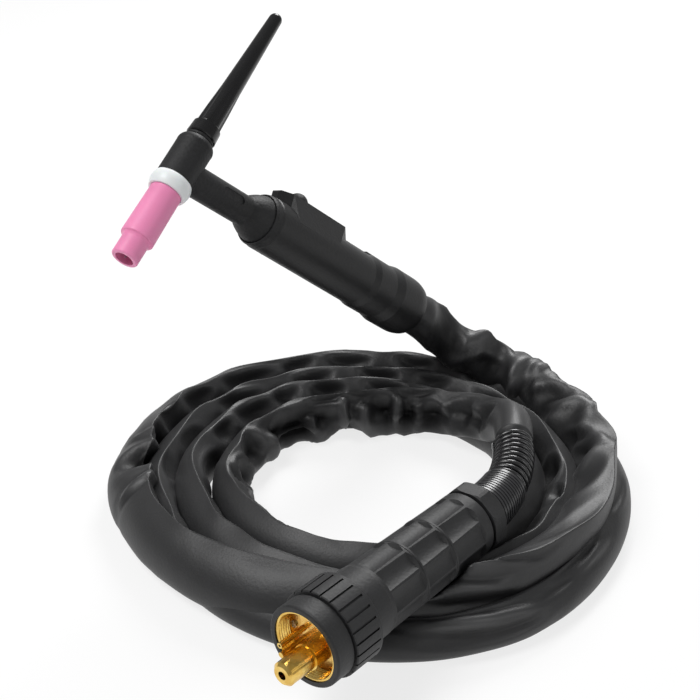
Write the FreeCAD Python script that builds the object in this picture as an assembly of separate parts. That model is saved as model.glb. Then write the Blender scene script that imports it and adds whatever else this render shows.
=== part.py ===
import FreeCAD, Part
import math
import os

# A gas-cooled TIG torch with its trigger handle, a sheathed cable coiled on the floor
# and a central connector with a screwed nut, a kink spring and two control pins.
# Millimetres, +Z up. The origin is the grip: the point of the handle's axis in the palm.

V = FreeCAD.Vector

# Pose of the handset, as it is held over its coil
HANDLE_HEADING = 39.4        # degrees from +X to the handle's axis, seen from above
HANDLE_SLOPE = -39.5         # degrees that the axis falls towards the cable
HANDLE_ROLL = -19.9          # degrees that the head's plane leans about the handle's axis
GRIP_U = 140.0               # from the head's centre to the grip, along the handle
FLOOR_Z = -112.5             # the surface that the coil lies on

# Head: lengths along the head's axis, from where it meets the neck, + towards the cap
HEAD_ANGLE = 72.0            # degrees between the handle's axis and the cap's axis
HEAD_R = 10.2
HEAD_FRONT = 6.3             # head's centre to its face at the gasket
HEAD_REAR = 21.0             # head's centre to its face at the cap
HEAD_ROUND = 5.0
CORE_R = 6.4
CORE_BORE_R = 4.9
CORE_SHORT = 1.0             # the core stops this far inside the head's rear face

# Clearances
FIT = 0.05                   # between pieces that are pressed or moulded together
THREAD_GAP = 0.10            # radial room in a screwed joint
RUN_GAP = 0.30               # round a piece that slides or turns
SEAT_GAP = 0.10              # between a seated face and its seat

# Nozzle and gasket
GASKET_LEN = 8.2
GASKET_BACK_R = 10.6
GASKET_FRONT_R = 9.9
GASKET_BULGE = 1.0
NOZZLE_R_BACK = 8.6
NOZZLE_R_SHOULDER = 9.1
NOZZLE_R_TIP = 7.25
NOZZLE_IN_GASKET = 4.2       # how deep the nozzle sits in the gasket
NOZZLE_SHOW = 43.3           # from the gasket to the nozzle's mouth
NOZZLE_TIP_LEN = 11.0
NOZZLE_STEP_LEN = 1.6
NOZZLE_BORE_R = 5.0
NOZZLE_CHAMBER_R = 6.7
NOZZLE_THREAD_R = 6.4
NOZZLE_THREAD_LEN = 8.0

# Collet body, collet and electrode
COLLET_BODY_NOSE_R = 4.3
COLLET_BODY_MID_R = 5.2
COLLET_BODY_NOSE_LEN = 8.0
COLLET_BODY_MID_LEN = 5.0
COLLET_BODY_THREAD_LEN = 11.0
GAS_HOLE_R = 0.8
GAS_HOLES = 4
COLLET_R = 2.1
COLLET_SLIT = 0.4
COLLET_SLIT_LEN = 16.0
COLLET_END = 19.0            # collet's rear end, past the head's centre
ELECTRODE_R = 1.2
ELECTRODE_LEN = 150.0
ELECTRODE_RECESS = 0.8       # from the nozzle's mouth back to the electrode's tip
ELECTRODE_CONE = 3.0
ELECTRODE_FLAT_R = 0.2

# Back cap and its seal
CAP_TURNS = 3                # turns that the cap is unscrewed to free the electrode
CAP_PITCH = 1.0              # its thread's pitch, so that it rises 3 mm in these turns
ORING_SECTION_R = 1.15
ORING_R = 6.9
CAP_THREAD_LEN = 12.5
CAP_COLLAR_R = 8.3
CAP_COLLAR_END_R = 7.9
CAP_COLLAR_LEN = 7.5
CAP_SHOULDER_LEN = 1.0
CAP_STEM_R = 6.8
CAP_KNEE_R = 6.35         # the stem's radius at a seventh of its length
CAP_WAIST_R = 5.5         # and at a third
CAP_TIP_R = 3.8
CAP_END = 115.5              # the cap's tip, past the head's centre
CAP_BORE_GAP = 0.35          # room round the electrode in the cap
CAP_FLUTES = 6
CAP_FLUTE_R = 5.0
CAP_FLUTE_DEPTH = 0.75
CAP_FLUTE_LEN = 30.0

# Neck and bell, with lengths along the handle's axis from the head's centre
NECK_R = 8.5
NECK_TUBE_R = 4.5
NECK_TUBE_BORE_R = 3.0
NECK_TUBE_END = 77.0
BELL_START = 50.0
BELL_RIM = 62.0
BELL_END = 68.5
BELL_R = 13.7
POCKET_AT = 34.0             # recessed label place on the neck, left bare
POCKET_LEN = 16.0
POCKET_WIDTH = 5.2
POCKET_DEPTH = 0.6
POCKET_TURN = 10.0           # degrees from the neck's side towards the cap

# Handle
HANDLE_FRONT = 67.0
HANDLE_REAR = 204.0
HANDLE_WALL = 2.4
LIP_R = 15.5
LIP_WALL = 1.1
LIP_DEPTH = 3.5
FRONT_RING_AT = 61.6
FRONT_RING_R = 15.1
FRONT_RING_ROUND = 2.4
WEB_THICK = 2.5              # wall in the handle's front that carries the neck tube
MID_R = 16.0
SWELL_AT = HANDLE_REAR - 49.0    # where the grip starts to swell
SWELL_R = 17.0
BULGE_AT = HANDLE_REAR - 28.0
BULGE_R = 18.4
REAR_R = 17.2
BLOCK_FRONT = 70.0           # switch block on the handle's back
BLOCK_NOSE_END = 77.0        # its nose widens up to here
BLOCK_SIDE_FROM = 80.5
BLOCK_SIDE_TO = 116.0        # from here its sides run together towards the rear
BLOCK_REAR = 124.0
BLOCK_FOOT = 136.5
BLOCK_TOP = 21.0
BLOCK_HALF_WIDTH = 14.7
BLOCK_TOP_HALF_WIDTH = 8.0
BLOCK_WALL = 1.8
BLOCK_DRAFT_FROM = 5.5
BLOCK_NOSE_HALF_WIDTH = 2.4
BLOCK_ROOT = 2.0             # the block's prism starts this far from the handle's axis
BLOCK_FOOT_TOP = 14.0        # where its rear slope enters the handle's body
HANDLE_REACH = BLOCK_TOP + BULGE_R       # from its axis, further out than any piece of the handle
SPINE_HALF_WIDTH = 1.4       # rib on the joint of the two shells, behind the block
SPINE_PROUD = 1.0
SPINE_END = HANDLE_REAR - 24.0
SCREW_AT = (82.0, 128.0, HANDLE_REAR - 34.0)
SCREW_DROP = 10.6            # the screws lie this far below the handle's axis
BOSS_R = 3.2
SCREW_R = 1.2
SCREW_HEAD_R = 2.5
SCREW_HEAD_LEN = 1.8
SCREW_GRIP = 5.0             # length of thread in the right shell's boss
SCREW_HEAD_DEPTH = 4.0       # how deep the head lies below the shell's surface

# Trigger and its switch
BUTTON_AT = 89.0
BUTTON_R = 5.9
BUTTON_HOLE_GAP = 0.25
BUTTON_TOP = 26.6
BUTTON_TRAVEL = 1.5
BUTTON_FLANGE_R = 6.5
BUTTON_FLANGE_LEN = 1.2
BUTTON_STEM_R = 1.5
STEM_GAP = 0.15              # from the button's stem to the switch's plunger
SWITCH_LEN = 13.0
SWITCH_WIDTH = 6.4
SWITCH_TOP = 13.0
SWITCH_HEIGHT = 5.4
PLUNGER_R = 1.0
PLUNGER_SHOW = BUTTON_TRAVEL + 0.3
PLUNGER_INSIDE = 2.2
CARRIER_THICK = 0.9
CARRIER_LEN = 19.6
TERMINAL_LEN = 3.5
TERMINAL_R = 0.6
TERMINAL_SPACING = 3.4
LEAD_R = 2.0
LEAD_HEIGHT = 9.0            # trigger lead above the handle's axis

# Power and gas cable in the handle
FITTING_HEX = 11.0
FITTING_LEN = 8.0
BARB_R = 3.4
BARB_LEN = 11.0
POWER_CABLE_R = 5.5
FERRULE_WALL = 0.6
FERRULE_LEN = 7.0
FERRULE_SETBACK = 2.0
BUSH_LEN = 13.0

# Sheathed cable: free stretches and coil
SHEATH_D = 19.0
COIL_X = 18.4                # centre of the coil from the grip
COIL_Y = -70.9
COIL_PITCH = 19.8            # from one loop to the next
COIL_QUARTERS = 14           # quarter turns, clockwise from the right-hand side
COIL_R = (138.5, 133.5, 145.5, 130.5)   # first loop at right, front, left and back
COIL_DRAW_IN = 2.2           # the inner loops draw in by this much more at each quarter turn
DRAW_IN_FROM = 10
RISER_FIRST_RUN = 22.0
RISER_LAST_RUN = 14.8
TAIL_FIRST_RUN = 17.0
SPRING_END_RUN = 24.0
# Points of the riser: plan position from the coil's centre and height over the floor
RISER_POINTS = ((52.5, 118.2, 38.5), (80.0, 116.1, 25.3), (104.8, 100.7, 14.5), (124.1, 72.8, 10.6),
                (135.8, 40.9, 11.4))
# Points of the tail that climbs from the inner loop to the kink spring, likewise
TAIL_POINTS = ((-71.3, 36.0, 10.8), (-57.2, 54.8, 13.2), (-33.6, 69.6, 18.6), (-5.0, 76.8, 25.5),
               (25.0, 74.0, 32.0), (50.0, 60.5, 37.0), (68.0, 39.5, 41.0))

# Connector: lengths along its axis from the nut's front face, + towards the cable
CONNECTOR_X = -35.0          # nut's front face from the coil's centre
CONNECTOR_Y = -181.0
CONNECTOR_HEIGHT = 44.5      # its axis over the floor
CONNECTOR_HEADING = 49.4     # degrees from +X, seen from above
KEY_ANGLE = 36.0             # degrees from the connector's side up to its pins

NUT_COLLAR_R = 21.2
NUT_COLLAR_LEN = 10.6
NUT_GRIP_R = 22.8
NUT_LEN = 29.6
NUT_GROOVE = 0.9
NUT_RIBS = 24
NUT_RIB_CUT = 1.1
NUT_RIB_DEPTH = 0.9
NUT_FLANGE_LEN = 5.0
INSERT_R = 18.0
INSERT_BORE_R = 16.5
INSERT_SETBACK = 0.6
INSERT_LEN = 19.0
THREAD_PITCH = 1.5
THREAD_DEPTH = 0.5
THREAD_TURNS = 6
NECK_SLEEVE_R = 17.0         # the handle's sleeve that the nut turns on
NECK_SLEEVE_START = 20.0
RETAINER_LEN = 1.4
RETAINER_DEPTH = 0.5
RETAINER_R = 17.75

DISC_AT = 8.0
DISC_THICK = 2.0
DISC_R = 15.9
PLUG_R = 6.1
PLUG_SHOULDER_R = 6.8
PLUG_REACH = 18.0            # the plug stands this far in front of the nut
PLUG_SHOULDER_REACH = 2.0
PLUG_CHAMFER = 1.4
PLUG_BORE_R = 2.2
PLUG_BORE_LEN = 12.0
PLUG_STEM_R = 4.5
PLUG_OFFSET = 4.1            # the plug's axis lies this far from the nut's, away from the pins
PIN_R = 1.45
PIN_BORE_R = 0.7
PIN_REACH = 8.0
PIN_TRAVEL = 3.0
PIN_FLANGE_R = 2.0
PIN_FLANGE_LEN = 1.4
PIN_BACK = 6.0               # length of a pin behind its flange
PIN_PLACES = ((7.2, -2.6), (3.6, -6.4))      # along and across the key direction
DISC_SCREW_R = 1.0
DISC_SCREW_HEAD_R = 1.9
DISC_SCREW_HEAD_LEN = 0.9
DISC_SCREW_LEN = 7.0
DISC_SCREW_PLACES = ((11.6, -6.2), (7.6, 6.8))
BODY_END = 34.0              # rear face of the insulating body

COLLAR_R = 18.9              # the connector's handle
HANDLE_START = NUT_LEN + 0.3
ZONES = ((43.5, 68.5, 18.6, 18.3), (68.5, 92.0, 18.5, 18.1), (92.0, 117.5, 18.3, 17.8))
CONNECTOR_HANDLE_END = 124.0
CONNECTOR_BORE_R = 14.2
FLUTES = 10                  # scoops round each zone
FLUTE_TURN = -4.0            # degrees from the top to the middle of a scoop
FLUTE_R = 12.0
FLUTE_DEPTH = 1.9
FLUTE_RUN_OUT = 1.6          # length of a scoop's slanting rear wall
FLUTE_MARGIN = 1.2
REAR_WALL = 4.0
REAR_NUT_SIDES = 8
REAR_NUT_FLAT_R = 17.7
REAR_NUT_CORNER_R = 18.8
REAR_NUT_TURN = 29.0         # degrees from the connector's side up to the nut's first corner
REAR_NUT_LEN = 10.0
REAR_NUT_GAP = 1.2
REAR_NUT_NECK_R = 15.5

CABLE_R = 6.5                # cable inside the connector and the kink spring
STEM_NUT_HEX = 13.0
STEM_NUT_LEN = 8.0
STEM_LEN = 26.0
CRIMP_R = 7.4
CRIMP_LEN = 18.0
WIRE_R = 0.9
WIRE_LEN = 30.0

SLEEVE_LEN = 26.5            # fine-ribbed sleeve between the rear nut and the spring
SLEEVE_R_START = 14.2
SLEEVE_R_END = 12.6
SLEEVE_RIBS = 12
SLEEVE_RIB_DEPTH = 0.45
SLEEVE_END_COLLAR = 1.6
SPRING_WIRE_R = 1.45
SPRING_OD = 23.4
SPRING_TURNS = 10
SPRING_PITCH = 4.4
SPRING_END_HEADING = 92.0    # degrees, where the spring meets the sheath
SPRING_ENDS_GAP = 0.35


def polar(length, degrees):
    """Point in the XY plane at this distance and angle."""
    return V(length * math.cos(math.radians(degrees)), length * math.sin(math.radians(degrees)), 0)


def axes_placement(origin, along, up_hint_turned):
    """Placement whose X runs along, Y along up_hint_turned, and Z completes the right hand."""
    z = along.cross(up_hint_turned)
    matrix = FreeCAD.Matrix(along.x, up_hint_turned.x, z.x, origin.x,
                            along.y, up_hint_turned.y, z.y, origin.y,
                            along.z, up_hint_turned.z, z.z, origin.z, 0, 0, 0, 1)
    return FreeCAD.Placement(matrix)


def handset_placement():
    """Frame of the handset: X along the handle, Y towards the cap, origin at the head's centre."""
    heading, slope = math.radians(HANDLE_HEADING), math.radians(HANDLE_SLOPE)
    roll = math.radians(HANDLE_ROLL)
    along = V(math.cos(heading) * math.cos(slope), math.sin(heading) * math.cos(slope), math.sin(slope))
    up = (V(0, 0, 1) - along * along.z).normalize()
    side = along.cross(up)
    towards_cap = up * math.cos(roll) + side * math.sin(roll)
    return axes_placement(along * -GRIP_U, along, towards_cap)


HANDSET = handset_placement()
HEAD = HANDSET.multiply(FreeCAD.Placement(V(0, 0, 0), FreeCAD.Rotation(V(0, 0, 1), HEAD_ANGLE)))
COIL_CENTRE = V(COIL_X, COIL_Y, FLOOR_Z)
CONNECTOR_FRONT = COIL_CENTRE + V(CONNECTOR_X, CONNECTOR_Y, CONNECTOR_HEIGHT)
CONNECTOR = FreeCAD.Placement(CONNECTOR_FRONT, FreeCAD.Rotation(V(0, 0, 1), CONNECTOR_HEADING))


def outline(points):
    """Closed face in the XY plane. A point is (x, y), or (x, y, mx, my) for an arc by way of m."""
    edges = []
    here = V(points[0][0], points[0][1], 0)
    for point in list(points[1:]) + [points[0][:2]]:
        there = V(point[0], point[1], 0)
        if len(point) == 4:
            edges.append(Part.Arc(here, V(point[2], point[3], 0), there).toShape())
        else:
            edges.append(Part.LineSegment(here, there).toShape())
        here = there
    return Part.Face(Part.Wire(edges))


def turned(points):
    """Solid of revolution about the X axis of a closed outline of (x, radius) points."""
    return outline(points).revolve(V(0, 0, 0), V(1, 0, 0), 360)


def ring(start, end, outer, inner):
    """Plain ring about the X axis."""
    return turned([(start, inner), (start, outer), (end, outer), (end, inner)])


def rod(start, end, radius):
    """Plain round bar about the X axis."""
    return Part.makeCylinder(radius, end - start, V(start, 0, 0), V(1, 0, 0))


def bar(x0, x1, y0, y1, z0, z1):
    """Rectangular block between two corners."""
    return Part.makeBox(x1 - x0, y1 - y0, z1 - z0, V(x0, y0, z0))


def upright(x, y0, y1, radius, z=0):
    """Round bar along +Y, such as the button and its stem."""
    return Part.makeCylinder(radius, y1 - y0, V(x, y0, z), V(0, 1, 0))


def flatted(start, end, flats, sides):
    """Bar with this many flat sides about the X axis, measured across its flats."""
    radius = flats / 2 / math.cos(math.pi / sides)
    angles = [2 * math.pi * n / sides for n in range(sides + 1)]
    corners = [V(start, radius * math.cos(a), radius * math.sin(a)) for a in angles]
    return Part.Face(Part.makePolygon(corners)).extrude(V(end - start, 0, 0))


def around_x(shape, degrees):
    """Copy of a shape turned about the X axis."""
    copy = shape.copy()
    copy.rotate(V(0, 0, 0), V(1, 0, 0), degrees)
    return copy


def at(shape, y, z):
    """Copy of a shape moved off the X axis."""
    copy = shape.copy()
    copy.translate(V(0, y, z))
    return copy


def export(name, shape, placement):
    """Place a piece and write it to its own file."""
    placed = shape.copy()
    placed.Placement = placement.multiply(placed.Placement)
    if not placed.isValid():
        print("invalid", name)
    placed.exportStep("parts/" + name + ".step")
    return placed


# Head pieces, about the head's axis: X towards the cap

GASKET_FACE = -(HEAD_FRONT + SEAT_GAP)
GASKET_END = GASKET_FACE - GASKET_LEN
NOZZLE_BACK = GASKET_END + NOZZLE_IN_GASKET
NOZZLE_MOUTH = GASKET_END - NOZZLE_SHOW
COLLET_THREAD_START = NOZZLE_BACK - NOZZLE_THREAD_LEN
COLLET_FACE = COLLET_THREAD_START - COLLET_BODY_MID_LEN - COLLET_BODY_NOSE_LEN
ELECTRODE_TIP = NOZZLE_MOUTH + ELECTRODE_RECESS
CAP_FACE = HEAD_REAR + 2 * ORING_SECTION_R
CAP_THREAD_START = CAP_FACE - CAP_THREAD_LEN


def nozzle():
    """Alumina cup: a barrel that widens to its shoulder, then a narrow end with the mouth."""
    shoulder = NOZZLE_MOUTH + NOZZLE_TIP_LEN
    throat = shoulder + NOZZLE_STEP_LEN
    inner_throat = throat + (NOZZLE_CHAMBER_R - NOZZLE_BORE_R)
    edge = 0.9
    thread_end = NOZZLE_BACK - NOZZLE_THREAD_LEN
    return turned([
        (NOZZLE_BACK, NOZZLE_THREAD_R), (NOZZLE_BACK, NOZZLE_R_BACK),
        (throat + edge, NOZZLE_R_SHOULDER),
        (throat, NOZZLE_R_SHOULDER - edge, throat + edge * 0.3, NOZZLE_R_SHOULDER - edge * 0.3),
        (shoulder, NOZZLE_R_TIP, shoulder + NOZZLE_STEP_LEN * 0.4, NOZZLE_R_TIP + 0.25),
        (NOZZLE_MOUTH + edge, NOZZLE_R_TIP),
        (NOZZLE_MOUTH, NOZZLE_R_TIP - edge, NOZZLE_MOUTH + edge * 0.3, NOZZLE_R_TIP - edge * 0.3),
        (NOZZLE_MOUTH, NOZZLE_BORE_R), (shoulder + edge, NOZZLE_BORE_R),
        (inner_throat, NOZZLE_CHAMBER_R), (thread_end, NOZZLE_CHAMBER_R),
        (thread_end, NOZZLE_THREAD_R)])


def heat_shield_gasket():
    """White ring between the head and the nozzle, bulged outside, with a seat for the nozzle."""
    middle = (GASKET_FACE + GASKET_END) / 2
    seat_r = NOZZLE_R_BACK + 0.25
    bulge_r = (GASKET_BACK_R + GASKET_FRONT_R) / 2 + GASKET_BULGE
    return turned([
        (GASKET_FACE, NOZZLE_THREAD_R), (GASKET_FACE, GASKET_BACK_R),
        (GASKET_END, GASKET_FRONT_R, middle, bulge_r),
        (GASKET_END, seat_r), (NOZZLE_BACK + SEAT_GAP, seat_r), (NOZZLE_BACK + SEAT_GAP, NOZZLE_THREAD_R)])


def collet_body():
    """Copper body that screws into the head, carries the nozzle and lets the gas out."""
    nose_end = COLLET_FACE + COLLET_BODY_NOSE_LEN
    thread_r = NOZZLE_THREAD_R - THREAD_GAP
    bore = COLLET_R + THREAD_GAP
    back = -HEAD_FRONT + COLLET_BODY_THREAD_LEN
    body = turned([
        (COLLET_FACE, ELECTRODE_R + THREAD_GAP), (COLLET_FACE, COLLET_BODY_NOSE_R - 0.8),
        (COLLET_FACE + 0.8, COLLET_BODY_NOSE_R), (nose_end, COLLET_BODY_NOSE_R),
        (nose_end, COLLET_BODY_MID_R), (COLLET_THREAD_START, COLLET_BODY_MID_R),
        (COLLET_THREAD_START, thread_r), (-HEAD_FRONT - SEAT_GAP, thread_r),
        (-HEAD_FRONT - SEAT_GAP, CORE_BORE_R - THREAD_GAP), (back, CORE_BORE_R - THREAD_GAP),
        (back, bore), (COLLET_FACE + 2.0, bore), (COLLET_FACE + 2.0, ELECTRODE_R + THREAD_GAP)])
    hole = Part.makeCylinder(GAS_HOLE_R, COLLET_BODY_MID_R * 2, V(nose_end + COLLET_BODY_MID_LEN / 2, 0, 0), V(0, 1, 0))
    return body.cut([around_x(hole, 360.0 * n / GAS_HOLES) for n in range(GAS_HOLES)])


def collet():
    """Slit copper tube that grips the electrode."""
    start = COLLET_FACE + 2.0 + SEAT_GAP
    tube = turned([
        (start, ELECTRODE_R + FIT), (start, ELECTRODE_R + 0.4), (start + 0.8, COLLET_R),
        (COLLET_END, COLLET_R), (COLLET_END, ELECTRODE_R + FIT)])
    slit = bar(start - 1, start + COLLET_SLIT_LEN, -COLLET_SLIT / 2, COLLET_SLIT / 2, -COLLET_R - 1, COLLET_R + 1)
    return tube.cut([slit, around_x(slit, 90)])


def electrode():
    """Tungsten rod ground to a blunt point."""
    return turned([
        (ELECTRODE_TIP, 0), (ELECTRODE_TIP, ELECTRODE_FLAT_R), (ELECTRODE_TIP + ELECTRODE_CONE, ELECTRODE_R),
        (ELECTRODE_TIP + ELECTRODE_LEN, ELECTRODE_R), (ELECTRODE_TIP + ELECTRODE_LEN, 0)])


def in_head_frame(shape):
    """A shape given along the handle's axis, as seen in the head's frame."""
    copy = shape.copy()
    copy.rotate(V(0, 0, 0), V(0, 0, 1), -HEAD_ANGLE)
    return copy


def torch_head_core():
    """Brass core with both threads, and the socket that the neck tube is brazed into."""
    core = ring(-HEAD_FRONT, HEAD_REAR - CORE_SHORT, CORE_R - FIT, CORE_BORE_R)
    socket = in_head_frame(rod(0, CORE_R * 2, NECK_TUBE_R + FIT))
    return core.cut(socket)


def neck_tube():
    """Brass tube for current and gas from the core to the cable's fitting."""
    tube = ring(CORE_BORE_R + 0.6, NECK_TUBE_END, NECK_TUBE_R, NECK_TUBE_BORE_R)
    cap_way = rod(-HEAD_FRONT, HEAD_REAR, CORE_BORE_R + FIT)
    cap_way.rotate(V(0, 0, 0), V(0, 0, 1), HEAD_ANGLE)
    return tube.cut(cap_way)


def label_pocket():
    """Shallow slot with round ends in the neck's side, left bare."""
    half = (POCKET_LEN - POCKET_WIDTH) / 2
    floor = NECK_R - POCKET_DEPTH
    slot = bar(-half, half, -POCKET_WIDTH / 2, POCKET_WIDTH / 2, floor, NECK_R + 1)
    for end in (-half, half):
        slot = slot.fuse(Part.makeCylinder(POCKET_WIDTH / 2, NECK_R + 1 - floor, V(end, 0, floor)))
    slot.translate(V(POCKET_AT, 0, 0))
    return around_x(slot, -POCKET_TURN)


def head_insulation():
    """Moulded rubber over the head and the neck, with the bell that enters the handle."""
    shell = turned([
        (-HEAD_FRONT, 0), (-HEAD_FRONT, HEAD_R), (HEAD_REAR - HEAD_ROUND, HEAD_R),
        (HEAD_REAR, HEAD_R - HEAD_ROUND / 2,
         HEAD_REAR - HEAD_ROUND * 0.293, HEAD_R - HEAD_ROUND / 2 * 0.293),
        (HEAD_REAR, 0)])
    shell.rotate(V(0, 0, 0), V(0, 0, 1), HEAD_ANGLE)
    neck = turned([
        (0, 0), (0, NECK_R), (BELL_START, NECK_R),
        (BELL_RIM, BELL_R, BELL_START + (BELL_RIM - BELL_START) * 0.38, NECK_R + (BELL_R - NECK_R) * 0.52),
        (BELL_END, BELL_R), (BELL_END, 0)])
    inside = rod(-HEAD_FRONT - 1, HEAD_REAR + 1, CORE_R)
    inside.rotate(V(0, 0, 0), V(0, 0, 1), HEAD_ANGLE)
    bore = rod(0, BELL_END + 1, NECK_TUBE_R + FIT)
    front = rod(-HEAD_FRONT - NECK_R, -HEAD_FRONT, HEAD_R)
    front.rotate(V(0, 0, 0), V(0, 0, 1), HEAD_ANGLE)
    return shell.fuse(neck).cut([inside, bore, front, label_pocket()]).removeSplitter()


def cap_oring():
    """Rubber ring that seals the cap on the head."""
    return Part.makeTorus(ORING_R, ORING_SECTION_R - FIT, V(HEAD_REAR + ORING_SECTION_R, 0, 0), V(1, 0, 0))


def back_cap():
    """Long cap that tightens the collet: thread, collar, fluted stem and round tip."""
    collar_end = CAP_FACE + CAP_COLLAR_LEN
    stem = collar_end + CAP_SHOULDER_LEN
    tip = CAP_END - CAP_TIP_R
    bore = ELECTRODE_R + CAP_BORE_GAP
    collet_bore = COLLET_R + RUN_GAP
    body = turned([
        (CAP_THREAD_START, 0), (CAP_THREAD_START, CORE_BORE_R - THREAD_GAP),
        (CAP_FACE, CORE_BORE_R - THREAD_GAP), (CAP_FACE, CAP_COLLAR_R - 0.6),
        (CAP_FACE + 0.6, CAP_COLLAR_R), (collar_end, CAP_COLLAR_END_R),
        (collar_end + CAP_SHOULDER_LEN * 0.6, CAP_COLLAR_END_R - 0.4), (stem, CAP_STEM_R),
        (stem + (tip - stem) / 7, CAP_KNEE_R), (stem + (tip - stem) / 3, CAP_WAIST_R), (tip, CAP_TIP_R),
        (CAP_END, 0, tip + CAP_TIP_R * math.sqrt(0.5), CAP_TIP_R * math.sqrt(0.5))])
    drill = rod(CAP_THREAD_START - 1, ELECTRODE_TIP + ELECTRODE_LEN + 1.5, bore)
    mouth = rod(CAP_THREAD_START - 1, COLLET_END + RUN_GAP, collet_bore)
    low = V(stem - 1, CAP_STEM_R + CAP_FLUTE_R - CAP_FLUTE_DEPTH, 0)
    high = V(stem + (tip - stem) / 3, CAP_WAIST_R + CAP_FLUTE_R, 0)
    flute = Part.makeCylinder(CAP_FLUTE_R, CAP_FLUTE_LEN, low, high - low)
    return body.cut([drill, mouth] + [around_x(flute, 360.0 * n / CAP_FLUTES) for n in range(CAP_FLUTES)])


# Handle pieces, about the handle's axis: X towards the cable, Y towards the cap


def grip_outline(inset, front, rear):
    """Profile of the handle's round body, drawn in by inset for its inner wall."""
    return [
        (front, 0), (front, LIP_R - inset - 0.5), (front + 0.8, LIP_R - inset), (SWELL_AT - 3, MID_R - inset),
        (SWELL_AT + 2, SWELL_R - inset, SWELL_AT - 0.3, (MID_R + SWELL_R) / 2 - inset),
        (BULGE_AT - 3, SWELL_R - inset),
        (BULGE_AT + 4, BULGE_R - inset, BULGE_AT + 0.6, (SWELL_R + BULGE_R) / 2 - inset),
        (rear - 8, BULGE_R - inset),
        (rear, REAR_R - inset, rear - 3.2, (BULGE_R * 2 + REAR_R) / 3 - inset), (rear, 0)]


def block_shape(inset):
    """Switch block on the handle's back: leaning sides, a blunt nose and a tail drawn together."""
    slope = (BLOCK_HALF_WIDTH - BLOCK_TOP_HALF_WIDTH) / (BLOCK_TOP - BLOCK_DRAFT_FROM)
    sideways = inset * math.sqrt(1 + slope * slope)
    top, half = BLOCK_TOP - inset, BLOCK_HALF_WIDTH - sideways
    top_half = BLOCK_TOP_HALF_WIDTH + inset * slope - sideways
    front, foot = BLOCK_FRONT + inset, BLOCK_FOOT - inset * 1.5
    side = outline([
        (front, BLOCK_ROOT), (front, top - 1.0), (front + 1.0, top), (BLOCK_REAR - inset, top),
        (foot, BLOCK_FOOT_TOP), (foot, BLOCK_ROOT)])
    side.translate(V(0, 0, -half - 1))
    prism = side.extrude(V(0, 0, 2 * half + 2))
    corners = [(-half, BLOCK_ROOT), (-half, BLOCK_DRAFT_FROM), (-top_half, top), (-top_half, top + 1),
               (top_half, top + 1), (top_half, top), (half, BLOCK_DRAFT_FROM), (half, BLOCK_ROOT)]
    section = Part.Face(Part.makePolygon([V(front - 1, y, z) for z, y in corners + corners[:1]]))
    body = prism.common(section.extrude(V(foot - front + 2, 0, 0)))
    nose_half = BLOCK_NOSE_HALF_WIDTH - inset / 2
    plan = [(front, nose_half), (BLOCK_NOSE_END + inset / 2, top_half), (BLOCK_SIDE_FROM + inset, half + 0.5),
            (BLOCK_SIDE_TO - inset, half + 0.5), (BLOCK_REAR - inset, top_half), (foot, 1.0)]
    points = [V(x, 0, z) for x, z in plan] + [V(x, 0, -z) for x, z in reversed(plan)]
    cover = Part.Face(Part.makePolygon(points + points[:1])).extrude(V(0, top + 2, 0))
    return body.common(cover)


def handle_body():
    """Both handle shells as one hollow body, before they are split."""
    web = HANDLE_FRONT + LIP_DEPTH
    outer = turned(grip_outline(0, HANDLE_FRONT, HANDLE_REAR)).fuse(block_shape(0))
    spine = bar(BLOCK_FOOT - 3, SPINE_END, MID_R - 3, SWELL_R + SPINE_PROUD, -SPINE_HALF_WIDTH, SPINE_HALF_WIDTH)
    slope = bar(BLOCK_FOOT - 3, SWELL_AT, MID_R + SPINE_PROUD, SWELL_R + SPINE_PROUD + 1, -9, 9)
    outer = outer.fuse(spine.cut(slope))
    cavity = turned(grip_outline(HANDLE_WALL, web + WEB_THICK, HANDLE_REAR)).fuse(block_shape(BLOCK_WALL))
    cavity = cavity.common(bar(web + WEB_THICK, HANDLE_REAR + 1, -HANDLE_REACH, HANDLE_REACH, -HANDLE_REACH, HANDLE_REACH))
    mouth = rod(HANDLE_FRONT - 1, web, LIP_R - LIP_WALL)
    tube_way = rod(HANDLE_FRONT, web + WEB_THICK + 1, NECK_TUBE_R + THREAD_GAP)
    button_way = upright(BUTTON_AT, BLOCK_TOP - BLOCK_WALL - 2, BLOCK_TOP + 2, BUTTON_R + BUTTON_HOLE_GAP)
    rear_way = rod(HANDLE_REAR - 1, HANDLE_REAR + 1, REAR_R - HANDLE_WALL)
    return outer.cut([cavity, mouth, tube_way, button_way, rear_way])


def half_space(sign):
    """Large block on one side of the handle's joint plane."""
    low, high = (0, HANDLE_REACH) if sign > 0 else (-HANDLE_REACH, 0)
    return bar(HANDLE_FRONT - BELL_R, HANDLE_REAR + REAR_R, -HANDLE_REACH, HANDLE_REACH, low, high)


def wall_reach():
    """How far the inner wall is from the joint plane at the screws' height."""
    return math.sqrt((MID_R - HANDLE_WALL) ** 2 - SCREW_DROP ** 2)


def side_bar(x, z0, z1, radius):
    """Round bar along Z at a screw's place."""
    return Part.makeCylinder(radius, z1 - z0, V(x, -SCREW_DROP, z0), V(0, 0, 1))


def head_seat():
    """Z of the seat of the screw heads in the left shell."""
    return -math.sqrt(MID_R ** 2 - SCREW_DROP ** 2) + SCREW_HEAD_DEPTH


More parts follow.
